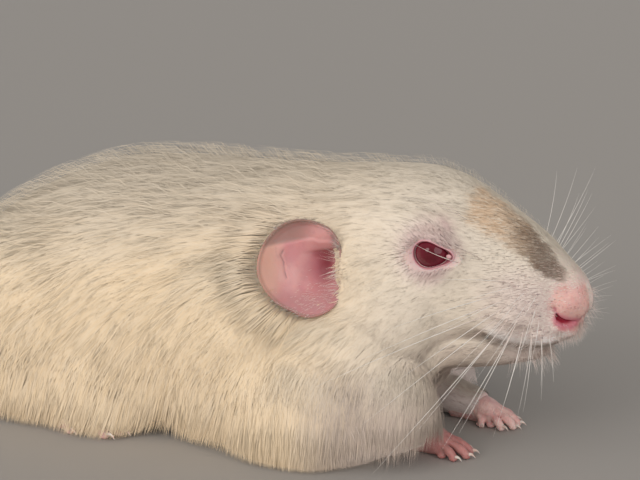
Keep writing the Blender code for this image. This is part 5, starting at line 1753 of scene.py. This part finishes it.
whisker_hair = Finish("whisker_hair", Roughness=0.45, Specular_IOR_Level=0.3)
along = whisker_hair.attribute("along")
whisker_hair.set(Base_Color=whisker_hair.layers(
    (0.46, 0.35, 0.33),
    (along.between(0.0, 0.06), (0.80, 0.68, 0.62)),
    (along.between(0.14, 0.34), (0.93, 0.89, 0.84)),
))
dark = Finish("follicle", Roughness=0.6)
spot = dark.noise(2500, 2, 0.5)
dark.set(Base_Color=dark.mix(spot.between(0.3, 0.7), (0.36, 0.27, 0.26), (0.58, 0.46, 0.43)))
for name, side in SIDES:
    lines = [bristle(root - way * 0.8, way, bend, length, STOUT if length > 20 else SLIGHT)
             for root, way, bend, length in pad(name, side)]
    finish_piece(bristles(f"whiskers_{name}", lines), whisker_hair.material, "face")
    dots = [egg("dot", root + (0.05, 0.14 * side, 0), (0.25, 0.18, 0.20), around=10) for root in follicles[name]]
    finish_piece(join(f"follicles_{name}", dots), dark.material, "skin")

# %% Brow, chin and nose hairs
fine = []
SAG = (-0.14, 0, -0.16)
LONG_HAIRS = (  # root, direction, bend, length, radius; each on both sides
    ((9.0, 9.2, 36.6), (-0.74, 0.46, 0.53), SAG, 24, 0.06),  # before the eye
    ((5.4, 8.4, 43.4), (-0.72, 0.48, 0.50), SAG, 13, 0.06),  # brow
    ((4.2, 8.2, 44.2), (-0.76, 0.34, 0.56), SAG, 10, 0.06),
    ((-8.0, 15.0, 27.5), (-0.55, 0.80, -0.1), SAG, 9, 0.06),  # cheek
    ((5.6, 12.6, 36.6), (-0.886, 0.53, 0.318), (-0.046, -0.318, 0.046), 8.8, 0.10),  # a lash that crosses the eye
)


def add_hair(root, way, bend, length, radius, rows=4):
    """A short hair; its direction may have any length."""
    fine.append(bristle(np.array(root), way / np.linalg.norm(way), np.array(bend), length, radius, rows))


def add_down(aim, outwards, lean, scatter, bend, lengths, radius):
    """A short hair on the skin nearest to aim, which stands off it by so much and leans this way."""
    place, facing, _, _ = under.find_nearest(Vector(aim))
    way = np.array(facing) * outwards + lean + draw.normal(0, scatter, 3)
    add_hair(place, way, bend, draw.uniform(*lengths), radius)


for _, side in SIDES:
    flip = np.array((1, side, 1))
    for root, way, bend, length, radius in LONG_HAIRS:
        fine.append(bristle(np.array(root) * flip, np.array(way) * flip, np.array(bend) * flip, length, radius))
for _ in range(220):  # chin and lower lip
    angle = math.radians(draw.uniform(-75, 75))
    root = np.array([10.5 + 7.9 * math.cos(angle), 4.8 * math.sin(angle), draw.uniform(17.8, 20.6)])
    way = np.array([0.85 * math.cos(angle), 0.5 * math.sin(angle), -0.60]) + draw.normal(0, 0.12, 3)
    add_hair(root, way, (-0.2, 0, -0.2), draw.uniform(1.5, 3.6), 0.04, 5)
for _ in range(620):  # the fringe under the nose and on the front of the lip
    angle = math.radians(draw.uniform(-95, 95))
    aim = (19.0 + 5.0 * math.cos(angle), 4.2 * math.sin(angle), draw.uniform(22.0, 25.2))
    add_down(aim, 0.75, (0.25, 0, -0.75), 0.12, (-0.1, 0, -0.2), (0.6, 1.8), 0.032)
for _ in range(640):  # white down on the roll of the upper lip
    angle = math.radians(draw.uniform(20, 88)) * draw.choice((-1, 1))
    height = through(MOUTH, [abs(math.degrees(angle))])[0, 0] + draw.uniform(0.4, 3.2)
    aim = (MOUTH_AXIS + 9.0 * math.cos(angle), 9.0 * math.sin(angle), height)
    lean = (-abs(math.sin(angle)), math.copysign(math.cos(angle), angle), -0.45)
    add_down(aim, 0.30, lean, 0.10, (-0.1, 0, -0.2), (0.8, 1.9), 0.034)
for _ in range(130):  # the down on the front of the nose
    aim = (25.5, draw.uniform(-2.6, 2.6), draw.uniform(24.5, 32.0))
    add_down(aim, 0.8, (0.1, 0, -0.35), 0.15, (0, 0, -0.3), (0.6, 2.6), 0.028)
finish_piece(bristles("fine_hairs", fine, 3, 0.28), whisker_hair.material, "face")

# %% [markdown]
# The ears are not quite bare. Fine white hairs stand on the lobe below the canal, and a fringe of longer ones curves
# in from the front edge. They are spindles too, strewn on the bowl itself.

# %% Hairs of the ears
EAR_HAIRS = 13.0  # places tried on a square mm of the bowl
ear_hair = [[] for _ in range(6)]  # roots, normals, middles, tips, half widths and how pale
for name, side in SIDES:
    bowl, flip = bowls[name], (1, side, 1)
    places, facing = strewn(bowl, lambda p: np.full(len(p), EAR_HAIRS))
    b, u = ear_place(places * flip)
    inner = (facing * flip) @ EAR_LOOK > 0.25
    lobe = blob(b, u, (-0.42, -0.58), (0.42, 0.26))
    front = soft(b, -0.80, -0.98)
    on_edge = soft(u, 0.35, 0.7) * soft(b, 0.75, 0.5) + (u < -0.55) * (b > -0.3) * 0.8
    fuzz = (ear_share(places, side) > 0.94) * on_edge
    lobe, front = lobe * inner, front * inner
    wanted = draw.random(len(b)) < np.maximum(np.maximum(0.50 * lobe, 0.2 * front), 0.8 * fuzz)
    places, facing, b, u, front, fuzz = (each[wanted] for each in (places, facing, b, u, front, fuzz))
    size = (0.6 + 0.8 * draw.random(len(b))) * (1 + 0.6 * front) * (1 + 0.5 * front) * (1 - 0.45 * fuzz)
    way = ear_back - 0.45 * ear_up * np.sign(0.15 - u)[:, None] + 0.22 * draw.standard_normal((len(b), 3))
    way = unit(way) * flip
    tip = places + way * size[:, None] + facing * (0.25 + 0.35 * front)[:, None] * size[:, None]
    middle = places + way * 0.45 * size[:, None] + facing * 0.30 * size[:, None]
    for kept, value in zip(ear_hair, (places, facing, middle, tip, 0.022 + 0.012 * (front + fuzz), 1 - fuzz)):
        kept.append(value)
    bpy.data.objects.remove(bowl)
places, facing, middle, tip, half_width, pale = (np.concatenate(each) for each in ear_hair)
shapes, triangles, shade = spindles(places, facing, middle, facing, tip, half_width)
made = build("ear_hairs", shapes, triangles)
shade_by(made, shade)
tuft_map(made, places, -30.0, -8.0)
set_attribute(made, "along", np.tile(0.10 + 0.12 * SHADE_ALONG, len(places)) * np.repeat(0.10 + 0.90 * pale, 5))
finish_piece(made, whisker_hair.material, "ear")
